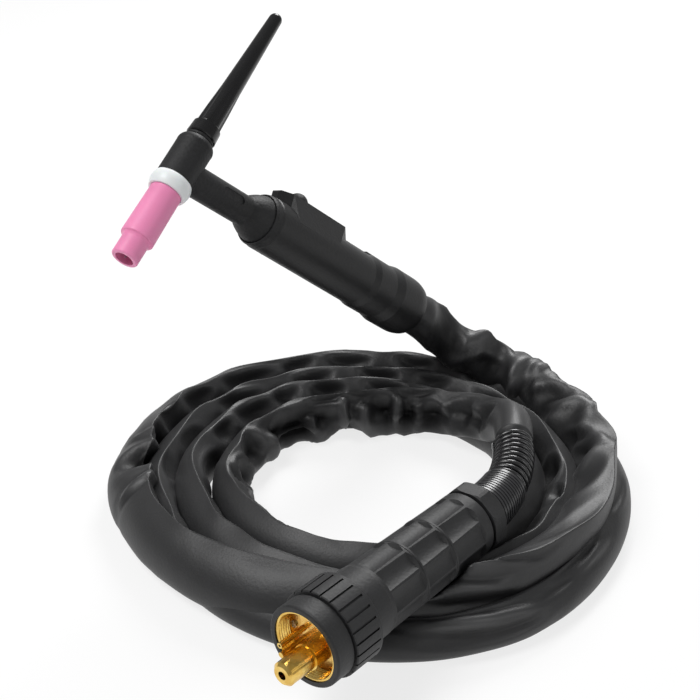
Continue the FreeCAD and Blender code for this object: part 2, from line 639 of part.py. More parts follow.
def handle_front_ring():
    """Rubber ring round the bell, seated in the handle's mouth."""
    end = HANDLE_FRONT + LIP_DEPTH - SEAT_GAP
    spigot = LIP_R - LIP_WALL - FIT
    bore = BELL_R + RUN_GAP
    edge = FRONT_RING_ROUND
    return turned([
        (FRONT_RING_AT + edge * 0.6, bore), (FRONT_RING_AT + 0.1, bore + (FRONT_RING_R - bore) * 0.3),
        (FRONT_RING_AT + edge, FRONT_RING_R, FRONT_RING_AT + edge * 0.45, FRONT_RING_R - (FRONT_RING_R - bore) * 0.2),
        (HANDLE_FRONT - FIT, FRONT_RING_R), (HANDLE_FRONT - FIT, spigot), (end, spigot), (end, bore)])


def handle_shell(body, sign):
    """One handle shell with its screw bosses. The screws enter from the left, the -Z side."""
    half = body.common(half_space(sign))
    reach = wall_reach() + 1.2
    solid = turned(grip_outline(HANDLE_WALL / 2, HANDLE_FRONT, HANDLE_REAR))
    for x in SCREW_AT:
        low, high = (0, reach) if sign > 0 else (-reach, 0)
        half = half.fuse(side_bar(x, low, high, BOSS_R).common(solid))
    cuts = []
    for x in SCREW_AT:
        if sign > 0:
            cuts.append(side_bar(x, -1, SCREW_GRIP + 1, SCREW_R + FIT))
        else:
            cuts.append(side_bar(x, -HANDLE_REACH, 1, SCREW_R + 0.3))
            cuts.append(side_bar(x, -HANDLE_REACH, head_seat(), SCREW_HEAD_R + 0.3))
    return half.cut(cuts)


def handle_screws():
    """Three self-tapping screws that hold the shells together."""
    screws = []
    for x in SCREW_AT:
        seat = head_seat() - SEAT_GAP
        head = side_bar(x, seat - SCREW_HEAD_LEN, seat, SCREW_HEAD_R)
        slot = bar(x - SCREW_HEAD_R, x + SCREW_HEAD_R, -SCREW_DROP - 0.4, -SCREW_DROP + 0.4,
                   seat - SCREW_HEAD_LEN, seat - SCREW_HEAD_LEN + 0.8)
        screws.append(head.cut(slot).fuse(side_bar(x, seat, SCREW_GRIP, SCREW_R)))
    return Part.makeCompound(screws)


BUTTON_FLANGE_TOP = BLOCK_TOP - BLOCK_WALL - RUN_GAP


def trigger_button():
    """Domed push button with a flange under the block's wall and a stem to the switch."""
    shoulder = BLOCK_TOP + 0.9
    rise, height = BUTTON_TOP - shoulder, BUTTON_TOP - BUTTON_FLANGE_TOP
    ball = (BUTTON_R ** 2 + rise ** 2) / (2 * rise)
    half_angle = math.asin(BUTTON_R / ball) / 2
    dome = turned([
        (0, 0), (0, BUTTON_R), (shoulder - BUTTON_FLANGE_TOP, BUTTON_R),
        (height, 0, height - ball * (1 - math.cos(half_angle)), ball * math.sin(half_angle))])
    dome.rotate(V(0, 0, 0), V(0, 0, 1), 90)
    dome.translate(V(BUTTON_AT, BUTTON_FLANGE_TOP, 0))
    flange = upright(BUTTON_AT, BUTTON_FLANGE_TOP - BUTTON_FLANGE_LEN, BUTTON_FLANGE_TOP, BUTTON_FLANGE_R)
    stem = upright(BUTTON_AT, SWITCH_TOP + PLUNGER_SHOW + STEM_GAP, BUTTON_FLANGE_TOP, BUTTON_STEM_R)
    return dome.fuse([flange, stem])


def switch_plunger():
    """Small pin of the snap switch, under the button's stem."""
    return upright(BUTTON_AT, SWITCH_TOP - PLUNGER_INSIDE, SWITCH_TOP + PLUNGER_SHOW, PLUNGER_R)


def micro_switch():
    """Snap switch that the trigger works, with a hole for its plunger."""
    case = bar(BUTTON_AT - SWITCH_LEN / 2, BUTTON_AT + SWITCH_LEN / 2, SWITCH_TOP - SWITCH_HEIGHT, SWITCH_TOP,
               -SWITCH_WIDTH / 2, SWITCH_WIDTH / 2)
    depth = PLUNGER_INSIDE + BUTTON_TRAVEL + 0.4
    return case.cut(upright(BUTTON_AT, SWITCH_TOP - depth, SWITCH_TOP + 1, PLUNGER_R + 0.15))


def switch_carrier():
    """Plate across the handle that the switch sits on."""
    top = SWITCH_TOP - SWITCH_HEIGHT - FIT
    half = math.sqrt((LIP_R - HANDLE_WALL) ** 2 - top ** 2) - RUN_GAP
    plate = bar(BUTTON_AT - CARRIER_LEN / 2, BUTTON_AT + CARRIER_LEN / 2, top - CARRIER_THICK, top, -half, half)
    rail = bar(BUTTON_AT - CARRIER_LEN / 2, BUTTON_AT + CARRIER_LEN / 2, top, top + 2.0,
               SWITCH_WIDTH / 2 + FIT, SWITCH_WIDTH / 2 + FIT + 1.0)
    mirrored = rail.mirror(V(0, 0, 0), V(0, 0, 1))
    return plate.fuse([rail, mirrored])


def switch_terminals():
    """Two solder pins at the switch's rear end."""
    start = BUTTON_AT + SWITCH_LEN / 2
    middle = SWITCH_TOP - SWITCH_HEIGHT / 2
    pins = [at(rod(start, start + TERMINAL_LEN, TERMINAL_R), middle, side * TERMINAL_SPACING / 2)
            for side in (-1, 1)]
    return Part.makeCompound(pins)


FITTING_END = NECK_TUBE_END + FITTING_LEN
BUSH_START = HANDLE_REAR - BUSH_LEN


def power_cable_fitting():
    """Brass nut and barb that join the neck tube to the cable."""
    nut = flatted(NECK_TUBE_END, FITTING_END, FITTING_HEX, 6)
    barb = rod(FITTING_END, FITTING_END + BARB_LEN, BARB_R)
    return nut.fuse(barb).cut(rod(NECK_TUBE_END - 1, FITTING_END + BARB_LEN + 1, NECK_TUBE_BORE_R - 0.8))


def power_cable_front():
    """Cable for current and gas, from the barb to the handle's rear."""
    return ring(FITTING_END + SEAT_GAP, HANDLE_REAR - SEAT_GAP, POWER_CABLE_R, BARB_R + FIT)


def cable_crimp_ferrule():
    """Crimped ring that holds the cable on its barb."""
    start = FITTING_END + FERRULE_SETBACK
    return ring(start, start + FERRULE_LEN, POWER_CABLE_R + FIT + FERRULE_WALL, POWER_CABLE_R + FIT)


def trigger_lead():
    """Two-core lead from the switch's pins to the handle's rear."""
    start = BUTTON_AT + SWITCH_LEN / 2 + TERMINAL_LEN + SEAT_GAP
    return at(rod(start, HANDLE_REAR - SEAT_GAP, LEAD_R), LEAD_HEIGHT, 0)


def rear_bush():
    """Rubber bush in the handle's rear that holds the cable, the lead and the sheath."""
    bush = turned([
        (BUSH_START, 0), (BUSH_START, BULGE_R - HANDLE_WALL - RUN_GAP),
        (HANDLE_REAR - 8, BULGE_R - HANDLE_WALL - RUN_GAP),
        (HANDLE_REAR, REAR_R - HANDLE_WALL - RUN_GAP), (HANDLE_REAR, 0)])
    cable_way = rod(BUSH_START - 1, HANDLE_REAR + 1, POWER_CABLE_R + FIT)
    lead_way = at(rod(BUSH_START - 1, HANDLE_REAR + 1, LEAD_R + FIT), LEAD_HEIGHT, 0)
    return bush.cut([cable_way, lead_way])


# Sheathed cable


def arc_from_corner(start, corner, end):
    """Arc that leaves start and reaches end, tangent to the two equal legs at the corner."""
    middle = (start + end) * 0.5
    half = (end - start).Length / 2
    leg = (corner - start).Length
    rise = (corner - middle)
    if rise.Length < 1e-7:
        return Part.LineSegment(start, end).toShape()
    lean = math.acos(min(1.0, half / leg))
    return Part.Arc(start, middle + rise.normalize() * (half * math.tan(lean / 2)), end).toShape()


def biarc(p0, t0, p1, t1):
    """Two arcs from p0 to p1 with the directions t0 and t1 at the ends."""
    span = p1 - p0
    both = t0 + t1
    square = 2 * (1 - t0.dot(t1))
    along = span.dot(both)
    if square < 1e-9:
        reach = span.dot(span) / (2 * along)
    else:
        reach = (-along + math.sqrt(along * along + square * span.dot(span))) / square
    q0, q1 = p0 + t0 * reach, p1 - t1 * reach
    joint = (q0 + q1) * 0.5
    return [arc_from_corner(p0, q0, joint), arc_from_corner(joint, q1, p1)]


def swept(edges, start, direction, radius):
    """Round bar along connected edges, as a pipe shell in the default mode."""
    circle = Part.Wire([Part.makeCircle(radius, start, direction)])
    shell = Part.BRepOffsetAPI.MakePipeShell(Part.Wire(edges))
    shell.add(circle)
    shell.build()
    shell.makeSolid()
    return shell.shape()


def route_edges(points, name, diameter):
    """Straight runs joined by arcs as large as the runs allow. Prints the radii."""
    edges, radii = [], []
    here = points[0]
    for before, corner, after in zip(points, points[1:], points[2:]):
        leg_in, leg_out = corner - before, after - corner
        reach = 0.45 * min(leg_in.Length, leg_out.Length)
        half_turn = leg_in.getAngle(leg_out) / 2
        radii.append(reach / math.tan(half_turn))
        arc_start = corner - leg_in.normalize() * reach
        arc_end = corner + leg_out.normalize() * reach
        edges.append(Part.LineSegment(here, arc_start).toShape())
        edges.append(arc_from_corner(arc_start, corner, arc_end))
        here = arc_end
    edges.append(Part.LineSegment(here, points[-1]).toShape())
    print(name, "radii", [round(r) for r in radii], "in diameters", [round(r / diameter, 1) for r in radii])
    return edges


def cable_along(points, name, diameter):
    """Plain tube of a free stretch, with its volume set against its section times its length."""
    edges = route_edges(points, name, diameter)
    direction = (points[1] - points[0]).normalize()
    tube = swept(edges, points[0], direction, diameter / 2)
    length = sum(edge.Length for edge in edges)
    share = tube.Volume / (math.pi * diameter ** 2 / 4 * length)
    print(name, "length", round(length, 1), "volume share", round(share, 4))
    return tube


def loop_radius(quarter):
    """Radius of the coil's line after this many quarter turns."""
    drawn_in = COIL_DRAW_IN * max(0, quarter - DRAW_IN_FROM)
    return COIL_R[quarter % 4] - COIL_PITCH * (quarter // 4) - drawn_in


def coil_point(quarter):
    """Place and direction of the coil's line after this many quarter turns, clockwise."""
    degrees = -90.0 * quarter
    radius = loop_radius(quarter)
    growth = (loop_radius(quarter + 1) - loop_radius(quarter - 1)) / math.pi
    outward, onward = polar(1, degrees), polar(1, degrees - 90)
    place = COIL_CENTRE + outward * radius + V(0, 0, SHEATH_D / 2)
    return place, (onward + outward * (growth / radius)).normalize()


def coil_gap(edges):
    """Least gap between neighbouring turns, measured on points half a turn or more apart."""
    points = []
    for edge in edges:
        points += [edge.valueAt(edge.FirstParameter + (edge.LastParameter - edge.FirstParameter) * s / 12.0)
                   for s in range(12)]
    apart = len(points) * 2 // COIL_QUARTERS
    least = min((points[i] - points[j]).Length
                for i in range(len(points)) for j in range(i + apart, len(points)))
    return least - SHEATH_D


def coil_edges():
    """Quarter turns of the coil, each of two arcs."""
    edges = []
    for quarter in range(COIL_QUARTERS):
        edges += biarc(*coil_point(quarter), *coil_point(quarter + 1))
    return edges


def cable_coil():
    """Three and a half loops of the sheathed cable, lying on the floor."""
    edges = coil_edges()
    print("cable_coil length", round(sum(e.Length for e in edges), 1), "least gap", round(coil_gap(edges), 2))
    start, direction = coil_point(0)
    return swept(edges, start, direction, SHEATH_D / 2)


def riser_points():
    """Route from the handle's rear to the coil's first loop."""
    exit_point = HANDSET.multVec(V(HANDLE_REAR, 0, 0))
    along = HANDSET.Rotation.multVec(V(1, 0, 0))
    coil_start, onward = coil_point(0)
    middle = [COIL_CENTRE + V(*point) for point in RISER_POINTS]
    return [exit_point, exit_point + along * RISER_FIRST_RUN] + middle + [coil_start - onward * RISER_LAST_RUN, coil_start]


# Connector pieces, about the connector's axis: X towards the cable, Z up


def key_place(along, across):
    """Y and Z of a point given along and across the direction of the pins."""
    angle = math.radians(KEY_ANGLE)
    return (along * math.cos(angle) - across * math.sin(angle), along * math.sin(angle) + across * math.cos(angle))


def nut_grip():
    """Plastic nut: a smooth collar in front and a ribbed grip behind, turned by hand."""
    rear_flange = NUT_LEN - NUT_FLANGE_LEN
    body = turned([
        (0, INSERT_R + FIT), (0, NUT_COLLAR_R - 1.2),
        (1.2, NUT_COLLAR_R, 0.35, NUT_COLLAR_R - 0.35), (NUT_COLLAR_LEN, NUT_COLLAR_R),
        (NUT_COLLAR_LEN, NUT_COLLAR_R - NUT_GROOVE), (NUT_COLLAR_LEN + NUT_GROOVE, NUT_COLLAR_R - NUT_GROOVE),
        (NUT_COLLAR_LEN + NUT_GROOVE, NUT_GRIP_R - 0.5), (NUT_COLLAR_LEN + NUT_GROOVE + 0.5, NUT_GRIP_R),
        (NUT_LEN - 0.5, NUT_GRIP_R), (NUT_LEN, NUT_GRIP_R - 0.5),
        (NUT_LEN, NECK_SLEEVE_R + RUN_GAP), (rear_flange, NECK_SLEEVE_R + RUN_GAP),
        (rear_flange, INSERT_R + FIT)])
    cut = bar(NUT_COLLAR_LEN + NUT_GROOVE - 0.5, NUT_LEN - 2.2, -NUT_RIB_CUT / 2, NUT_RIB_CUT / 2,
              NUT_GRIP_R - NUT_RIB_DEPTH, NUT_GRIP_R + 1)
    return body.cut([around_x(cut, 360.0 * n / NUT_RIBS) for n in range(NUT_RIBS)])


def nut_insert():
    """Brass ring in the nut, with its thread as grooves."""
    end = INSERT_SETBACK + INSERT_LEN
    points = [(end, INSERT_BORE_R), (end, INSERT_R), (INSERT_SETBACK, INSERT_R),
              (INSERT_SETBACK, INSERT_BORE_R + THREAD_DEPTH)]
    x = INSERT_SETBACK
    for turn in range(THREAD_TURNS):
        points += [(x + THREAD_PITCH * 0.5, INSERT_BORE_R), (x + THREAD_PITCH, INSERT_BORE_R + THREAD_DEPTH)]
        x += THREAD_PITCH
    points.append((x + THREAD_PITCH * 0.5, INSERT_BORE_R))
    return turned(points)


RETAINER_AT = NUT_LEN - NUT_FLANGE_LEN - RETAINER_LEN - 0.2


def nut_retaining_ring():
    """Snap ring in the sleeve's groove that keeps the nut on the connector."""
    whole = ring(RETAINER_AT, RETAINER_AT + RETAINER_LEN, RETAINER_R,
                 NECK_SLEEVE_R - RETAINER_DEPTH + FIT)
    return whole.cut(bar(RETAINER_AT - 1, RETAINER_AT + RETAINER_LEN + 1, -1.5, 1.5, -INSERT_R - 1, 0))


def contact_disc():
    """Gold-coloured disc on the insulating body, with holes for the plug, pins and screws."""
    disc = rod(DISC_AT, DISC_AT + DISC_THICK, DISC_R)
    cuts = [at(rod(DISC_AT - 1, DISC_AT + DISC_THICK + 1, PLUG_STEM_R + FIT), *key_place(-PLUG_OFFSET, 0))]
    for place in PIN_PLACES:
        cuts.append(at(rod(DISC_AT - 1, DISC_AT + DISC_THICK + 1, PIN_R + RUN_GAP / 2), *key_place(*place)))
    for place in DISC_SCREW_PLACES:
        cuts.append(at(rod(DISC_AT - 1, DISC_AT + DISC_THICK + 1, DISC_SCREW_R + FIT), *key_place(*place)))
    return disc.cut(cuts)


def centre_plug():
    """Brass plug for current and gas, with a shoulder on the disc and a bored tip."""
    body = turned([
        (-PLUG_REACH, 0), (-PLUG_REACH, PLUG_R - PLUG_CHAMFER), (-PLUG_REACH + PLUG_CHAMFER, PLUG_R),
        (-PLUG_SHOULDER_REACH, PLUG_R), (-PLUG_SHOULDER_REACH, PLUG_SHOULDER_R),
        (DISC_AT, PLUG_SHOULDER_R), (DISC_AT, PLUG_STEM_R), (BODY_END + STEM_NUT_LEN, PLUG_STEM_R),
        (BODY_END + STEM_NUT_LEN, 0)])
    bored = body.cut(rod(-PLUG_REACH - 1, -PLUG_REACH + PLUG_BORE_LEN, PLUG_BORE_R))
    return at(bored, *key_place(-PLUG_OFFSET, 0))


PIN_FLANGE_AT = DISC_AT + DISC_THICK + SEAT_GAP


def control_pin(place, hollow):
    """Sprung contact pin. Its flange stops it behind the disc."""
    pin = rod(-PIN_REACH, PIN_FLANGE_AT + PIN_FLANGE_LEN + PIN_BACK, PIN_R)
    pin = pin.fuse(rod(PIN_FLANGE_AT, PIN_FLANGE_AT + PIN_FLANGE_LEN, PIN_FLANGE_R))
    if hollow:
        pin = pin.cut(rod(-PIN_REACH - 1, -PIN_REACH + 3, PIN_BORE_R))
    return at(pin, *key_place(*place))


def disc_screws():
    """Two slotted screws that hold the disc."""
    screws = []
    for place in DISC_SCREW_PLACES:
        head = rod(DISC_AT - DISC_SCREW_HEAD_LEN - FIT, DISC_AT - FIT, DISC_SCREW_HEAD_R)
        slot = bar(DISC_AT - DISC_SCREW_HEAD_LEN - 1, DISC_AT - DISC_SCREW_HEAD_LEN * 0.5 - FIT,
                   -0.25, 0.25, -DISC_SCREW_HEAD_R, DISC_SCREW_HEAD_R)
        screw = head.cut(slot).fuse(rod(DISC_AT - FIT, DISC_AT + DISC_SCREW_LEN, DISC_SCREW_R))
        screws.append(at(screw, *key_place(*place)))
    return Part.makeCompound(screws)


def insulating_body():
    """Moulded block behind the disc that holds the plug, the pins and the screws."""
    start = DISC_AT + DISC_THICK
    cuts = [at(rod(start - 1, BODY_END + 1, PLUG_STEM_R + FIT), *key_place(-PLUG_OFFSET, 0))]
    flange_way = PIN_FLANGE_AT + PIN_FLANGE_LEN + PIN_TRAVEL + 0.6
    for place in PIN_PLACES:
        cuts.append(at(rod(start - 1, flange_way, PIN_FLANGE_R + 0.15), *key_place(*place)))
        cuts.append(at(rod(start - 1, BODY_END - 4, PIN_R + 0.15), *key_place(*place)))
    for place in DISC_SCREW_PLACES:
        cuts.append(at(rod(start - 1, DISC_AT + DISC_SCREW_LEN + 0.5, DISC_SCREW_R + FIT), *key_place(*place)))
    return rod(start, BODY_END, DISC_R).cut(cuts)


def handle_flutes():
    """Scoops round each zone of the connector's handle. Each ends in a slanting crescent at the zone's rear."""
    cuts = []
    for start, end, r_start, r_end in ZONES:
        centre = (r_start + r_end) / 2 - FLUTE_DEPTH + FLUTE_R
        turn = end - FLUTE_RUN_OUT
        scoop = Part.makeCylinder(FLUTE_R, turn - start - FLUTE_MARGIN, V(start + FLUTE_MARGIN, 0, centre), V(1, 0, 0))
        wall = Part.makeCone(FLUTE_R, FLUTE_R - FLUTE_DEPTH, FLUTE_RUN_OUT, V(turn, 0, centre), V(1, 0, 0))
        cutter = scoop.fuse(wall).removeSplitter()
        cuts += [around_x(cutter, FLUTE_TURN + 360.0 * n / FLUTES) for n in range(FLUTES)]
    return cuts


def connector_handle():
    """Connector's handle: sleeve for the nut, plain collar and three scooped zones with fine steps between."""
    points = [(NECK_SLEEVE_START, DISC_R + FIT), (NECK_SLEEVE_START, NECK_SLEEVE_R),
              (RETAINER_AT - FIT, NECK_SLEEVE_R), (RETAINER_AT - FIT, NECK_SLEEVE_R - RETAINER_DEPTH),
              (RETAINER_AT + RETAINER_LEN + FIT, NECK_SLEEVE_R - RETAINER_DEPTH),
              (RETAINER_AT + RETAINER_LEN + FIT, NECK_SLEEVE_R), (HANDLE_START, NECK_SLEEVE_R),
              (HANDLE_START, COLLAR_R - 0.5), (HANDLE_START + 0.5, COLLAR_R),
              (ZONES[0][0] - 1.5, COLLAR_R), (ZONES[0][0], ZONES[0][2])]
    for start, end, r_start, r_end in ZONES:
        points += [(start + 0.1, r_start), (end, r_end)]
    points += [(CONNECTOR_HANDLE_END - 1, ZONES[-1][3]), (CONNECTOR_HANDLE_END, ZONES[-1][3] - 0.8),
               (CONNECTOR_HANDLE_END, CABLE_R + 5.0), (CONNECTOR_HANDLE_END - REAR_WALL, CABLE_R + 5.0),
               (CONNECTOR_HANDLE_END - REAR_WALL, CONNECTOR_BORE_R), (BODY_END + SEAT_GAP, CONNECTOR_BORE_R),
               (BODY_END + SEAT_GAP, DISC_R + FIT)]
    return turned(points).cut(handle_flutes())


def stem_nut():
    """Nut on the plug's stem that holds it in the insulating body."""
    nut = flatted(BODY_END + SEAT_GAP, BODY_END + STEM_NUT_LEN, STEM_NUT_HEX, 6)
    return at(nut.cut(rod(BODY_END - 1, BODY_END + STEM_NUT_LEN + 1, PLUG_STEM_R + FIT)),
              *key_place(-PLUG_OFFSET, 0))


STEM_END = BODY_END + STEM_NUT_LEN + STEM_LEN


def connector_crimp():
    """Crimped barrel that joins the cable to the plug's stem."""
    barrel = rod(BODY_END + STEM_NUT_LEN + SEAT_GAP, STEM_END, PLUG_STEM_R)
    barrel = at(barrel, *key_place(-PLUG_OFFSET, 0))
    sleeve = ring(STEM_END, STEM_END + CRIMP_LEN, CRIMP_R, CABLE_R + FIT)
    end_wall = rod(STEM_END - 3, STEM_END, CRIMP_R + 3)
    return barrel.fuse([sleeve, end_wall])


def pilot_wires():
    """Two control wires from the pins to the cable."""
    wires = [at(rod(BODY_END + SEAT_GAP, BODY_END + WIRE_LEN, WIRE_R), *key_place(*place)) for place in PIN_PLACES]
    return Part.makeCompound(wires)


REAR_NUT_START = CONNECTOR_HANDLE_END + REAR_NUT_GAP
REAR_NUT_END = REAR_NUT_START + REAR_NUT_LEN


def connector_rear_nut():
    """Plastic nut with eight flats that clamps the spring sleeve to the handle."""
    nut = flatted(REAR_NUT_START, REAR_NUT_END, 2 * REAR_NUT_FLAT_R, REAR_NUT_SIDES)
    nut = around_x(nut, 180 - REAR_NUT_TURN)
    nut = nut.common(turned([
        (REAR_NUT_START, 0), (REAR_NUT_START, REAR_NUT_CORNER_R - 0.8),
        (REAR_NUT_START + 0.8, REAR_NUT_CORNER_R), (REAR_NUT_END - 1.2, REAR_NUT_CORNER_R),
        (REAR_NUT_END, REAR_NUT_CORNER_R - 1.6), (REAR_NUT_END, 0)]))
    neck = rod(CONNECTOR_HANDLE_END + FIT, REAR_NUT_START, REAR_NUT_NECK_R)
    return nut.fuse(neck).cut(rod(CONNECTOR_HANDLE_END - 1, REAR_NUT_END + 1, CABLE_R + 1.6))


SLEEVE_START = REAR_NUT_END + FIT
SPRING_LEN = SPRING_PITCH * SPRING_TURNS + 2 * SPRING_WIRE_R + 2 * SPRING_ENDS_GAP
BENT_LEN = SLEEVE_LEN + SPRING_LEN
BEND_R = BENT_LEN / math.radians(SPRING_END_HEADING - CONNECTOR_HEADING)


def bent_axis(distance):
    """Place and direction on the bent axis, this far behind the rear nut, in the connector's frame."""
    turn = distance / BEND_R
    return V(SLEEVE_START + BEND_R * math.sin(turn), BEND_R * (1 - math.cos(turn)), 0), V(
        math.cos(turn), math.sin(turn), 0)


def bent_bar(start, end, radius):
    """Round bar along a stretch of the bent axis."""
    places = [bent_axis(start + (end - start) * share)[0] for share in (0, 0.5, 1)]
    return swept([Part.Arc(*places).toShape()], places[0], bent_axis(start)[1], radius)


def spring_sleeve():
    """Tapered sleeve with fine ribs between the rear nut and the spring."""
    pitch = (SLEEVE_LEN - SLEEVE_END_COLLAR) / SLEEVE_RIBS
    sleeve = bent_bar(0, SLEEVE_LEN, SLEEVE_R_END - SLEEVE_RIB_DEPTH)
    discs = []
    for n in range(SLEEVE_RIBS + 1):
        distance = pitch * n
        radius = SLEEVE_R_START + (SLEEVE_R_END - SLEEVE_R_START) * distance / SLEEVE_LEN
        width = SLEEVE_END_COLLAR if n == SLEEVE_RIBS else pitch
        foot = radius if n == SLEEVE_RIBS else radius - SLEEVE_RIB_DEPTH
        place, onward = bent_axis(distance)
        rib = turned([(0, 0), (0, radius), (width * 0.5, radius), (width * 0.62, foot), (width, foot), (width, 0)])
        rib.Placement = FreeCAD.Placement(place, FreeCAD.Rotation(V(1, 0, 0), onward))
        discs.append(rib)
    return sleeve.fuse(discs).cut(bent_bar(-1, SLEEVE_LEN + 1, CABLE_R + 0.6))


def spring_point(quarter):
    """Place of the spring's wire after this many quarter turns round the bent axis."""
    centre, onward = bent_axis(SLEEVE_LEN + SPRING_ENDS_GAP + SPRING_WIRE_R + SPRING_PITCH * quarter / 4.0)
    angle = math.radians(90.0 * quarter)
    side = V(-onward.y, onward.x, 0)
    radius = SPRING_OD / 2 - SPRING_WIRE_R
    return centre + (side * math.cos(angle) + V(0, 0, 1) * math.sin(angle)) * radius


def kink_spring():
    """Coil spring round the cable: one unbroken wire on quarter turns."""
    step = 0.01
    edges = []
    quarters = 4 * SPRING_TURNS
    for quarter in range(quarters):
        ends = []
        for q in (quarter, quarter + 1):
            ends += [spring_point(q), (spring_point(q + step) - spring_point(q - step)).normalize()]
        edges += biarc(*ends)
    gap = min((spring_point(q / 2.0) - spring_point(q / 2.0 + 4)).Length
              for q in range(2 * (quarters - 4))) - 2 * SPRING_WIRE_R
    print("kink_spring least gap", round(gap, 2))
    start = spring_point(0)
    return swept(edges, start, (spring_point(step) - start).normalize(), SPRING_WIRE_R)


def cable_core_rear():
    """Cable from the crimp through the rear nut and the spring to the sheath."""
    start, end = V(STEM_END + SEAT_GAP, 0, 0), bent_axis(0)[0]
    middle, last = bent_axis(BENT_LEN / 2)[0], bent_axis(BENT_LEN)[0]
    edges = [Part.LineSegment(start, end).toShape(), Part.Arc(end, middle, last).toShape()]
    return swept(edges, start, V(1, 0, 0), CABLE_R)


def tail_points():
    """Route from the coil's last loop up to the kink spring's end."""
    coil_end, onward = coil_point(COIL_QUARTERS)
    spring_end, back = bent_axis(BENT_LEN)
    spring_end = CONNECTOR.multVec(spring_end)
    back = CONNECTOR.Rotation.multVec(back)
    middle = [COIL_CENTRE + V(*point) for point in TAIL_POINTS]
    return [coil_end, coil_end + onward * TAIL_FIRST_RUN] + middle + [spring_end + back * SPRING_END_RUN, spring_end]


def build():
    """Write every piece to its file."""
    os.makedirs("parts", exist_ok=True)
    for piece in (nozzle, heat_shield_gasket, collet_body, collet, electrode, torch_head_core, cap_oring, back_cap):
        export(piece.__name__, piece(), HEAD)
    for piece in (head_insulation, neck_tube, handle_screws, trigger_button, switch_plunger, micro_switch,
                  switch_carrier, switch_terminals, power_cable_fitting, power_cable_front,
                  cable_crimp_ferrule, trigger_lead, rear_bush, handle_front_ring):
        export(piece.__name__, piece(), HANDSET)
    body = handle_body()
    export("handle_right_shell", handle_shell(body, 1), HANDSET)
    export("handle_left_shell", handle_shell(body, -1), HANDSET)
    for piece in (nut_grip, nut_insert, nut_retaining_ring, contact_disc, centre_plug, disc_screws,
                  insulating_body, connector_handle, stem_nut, connector_crimp, pilot_wires, connector_rear_nut,
                  spring_sleeve, kink_spring, cable_core_rear):
        export(piece.__name__, piece(), CONNECTOR)
    export("control_pin_hollow", control_pin(PIN_PLACES[0], True), CONNECTOR)
    export("control_pin_flat", control_pin(PIN_PLACES[1], False), CONNECTOR)
    world = FreeCAD.Placement()
    export("cable_riser", cable_along(riser_points(), "cable_riser", SHEATH_D), world)
    export("cable_coil", cable_coil(), world)
    export("cable_tail", cable_along(tail_points(), "cable_tail", SHEATH_D), world)


build()
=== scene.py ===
"""Dressing of a gas-cooled TIG torch: a wrinkled sheath over its cable, rubber, ceramic, brass and plastic finishes.

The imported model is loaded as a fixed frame. New surfaces are grids of two parameters worked out with numpy,
in metres, in the model's own frame: the origin is the grip and the coil lies on the floor below it.
"""

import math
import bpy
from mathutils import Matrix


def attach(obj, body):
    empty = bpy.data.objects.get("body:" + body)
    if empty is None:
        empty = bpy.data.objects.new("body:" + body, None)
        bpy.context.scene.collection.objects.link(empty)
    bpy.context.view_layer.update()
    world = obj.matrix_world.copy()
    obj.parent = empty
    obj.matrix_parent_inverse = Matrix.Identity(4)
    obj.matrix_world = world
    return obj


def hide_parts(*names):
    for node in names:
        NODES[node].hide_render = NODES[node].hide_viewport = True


bl_info = {
    "name": "TIG Torch Dressing",
    "version": (1, 0, 0),
    "blender": (4, 5, 0),
    "location": "View3D > Sidebar > Torch",
    "description": "Sheathed cable, finishes and studio for a TIG torch with a central connector",
    "category": "Object",
}

import bpy
import numpy as np
from bpy.props import FloatProperty, FloatVectorProperty, IntProperty, PointerProperty
from mathutils import Matrix, Vector

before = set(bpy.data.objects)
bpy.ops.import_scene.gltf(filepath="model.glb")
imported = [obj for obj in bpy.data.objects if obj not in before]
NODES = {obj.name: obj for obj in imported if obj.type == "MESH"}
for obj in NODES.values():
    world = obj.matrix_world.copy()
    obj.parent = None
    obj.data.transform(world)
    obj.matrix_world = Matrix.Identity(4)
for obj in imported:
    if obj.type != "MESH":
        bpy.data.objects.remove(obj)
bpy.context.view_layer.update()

# Places that the CAD source gives, in metres
FLOOR_Z = -0.1125
COIL_CENTRE = np.array((0.0184, -0.0709, FLOOR_Z))
HANDLE_HEADING, HANDLE_SLOPE, HANDLE_ROLL = 39.4, -39.5, -19.9
HEAD_CENTRE = -0.140         # along the handle's axis from the grip
HEAD_ANGLE = 72.0
CONNECTOR_FRONT = COIL_CENTRE + np.array((-0.035, -0.181, 0.0445))
CONNECTOR_HEADING = 49.4
# Distances behind the connector's front face, and the connector's radius there with a little room
CONNECTOR_STATIONS = (-0.001, 0, 0.0106, 0.0107, 0.0296, 0.0300, 0.1340, 0.1345, 0.1605, 0.1606)
CONNECTOR_RADII = (0, 0.0215, 0.0215, 0.0231, 0.0231, 0.0193, 0.0193, 0.0147, 0.0131, 0)
LOOSEST = 0.0206             # the sheath stands no further than this from the cable's line


def unit(vector):
    """The vector divided by its length, along the last axis."""
    vector = np.asarray(vector, float)
    return vector / np.linalg.norm(vector, axis=-1, keepdims=True)


def handset_axes():
    """Directions along the handle, towards the cap and to the side, turned by heading, slope and roll."""
    heading, slope, roll = (math.radians(a) for a in (HANDLE_HEADING, HANDLE_SLOPE, HANDLE_ROLL))
    along = np.array((math.cos(heading) * math.cos(slope), math.sin(heading) * math.cos(slope), math.sin(slope)))
    up = unit(np.array((0, 0, 1)) - along * along[2])
    cap = up * math.cos(roll) + np.cross(along, up) * math.sin(roll)
    return along, cap, np.cross(along, cap)


ALONG, CAPWARD, SIDE = handset_axes()
HEAD_AXIS = ALONG * math.cos(math.radians(HEAD_ANGLE)) + CAPWARD * math.sin(math.radians(HEAD_ANGLE))
CONNECTOR_AXIS = np.array((math.cos(math.radians(CONNECTOR_HEADING)), math.sin(math.radians(CONNECTOR_HEADING)), 0))

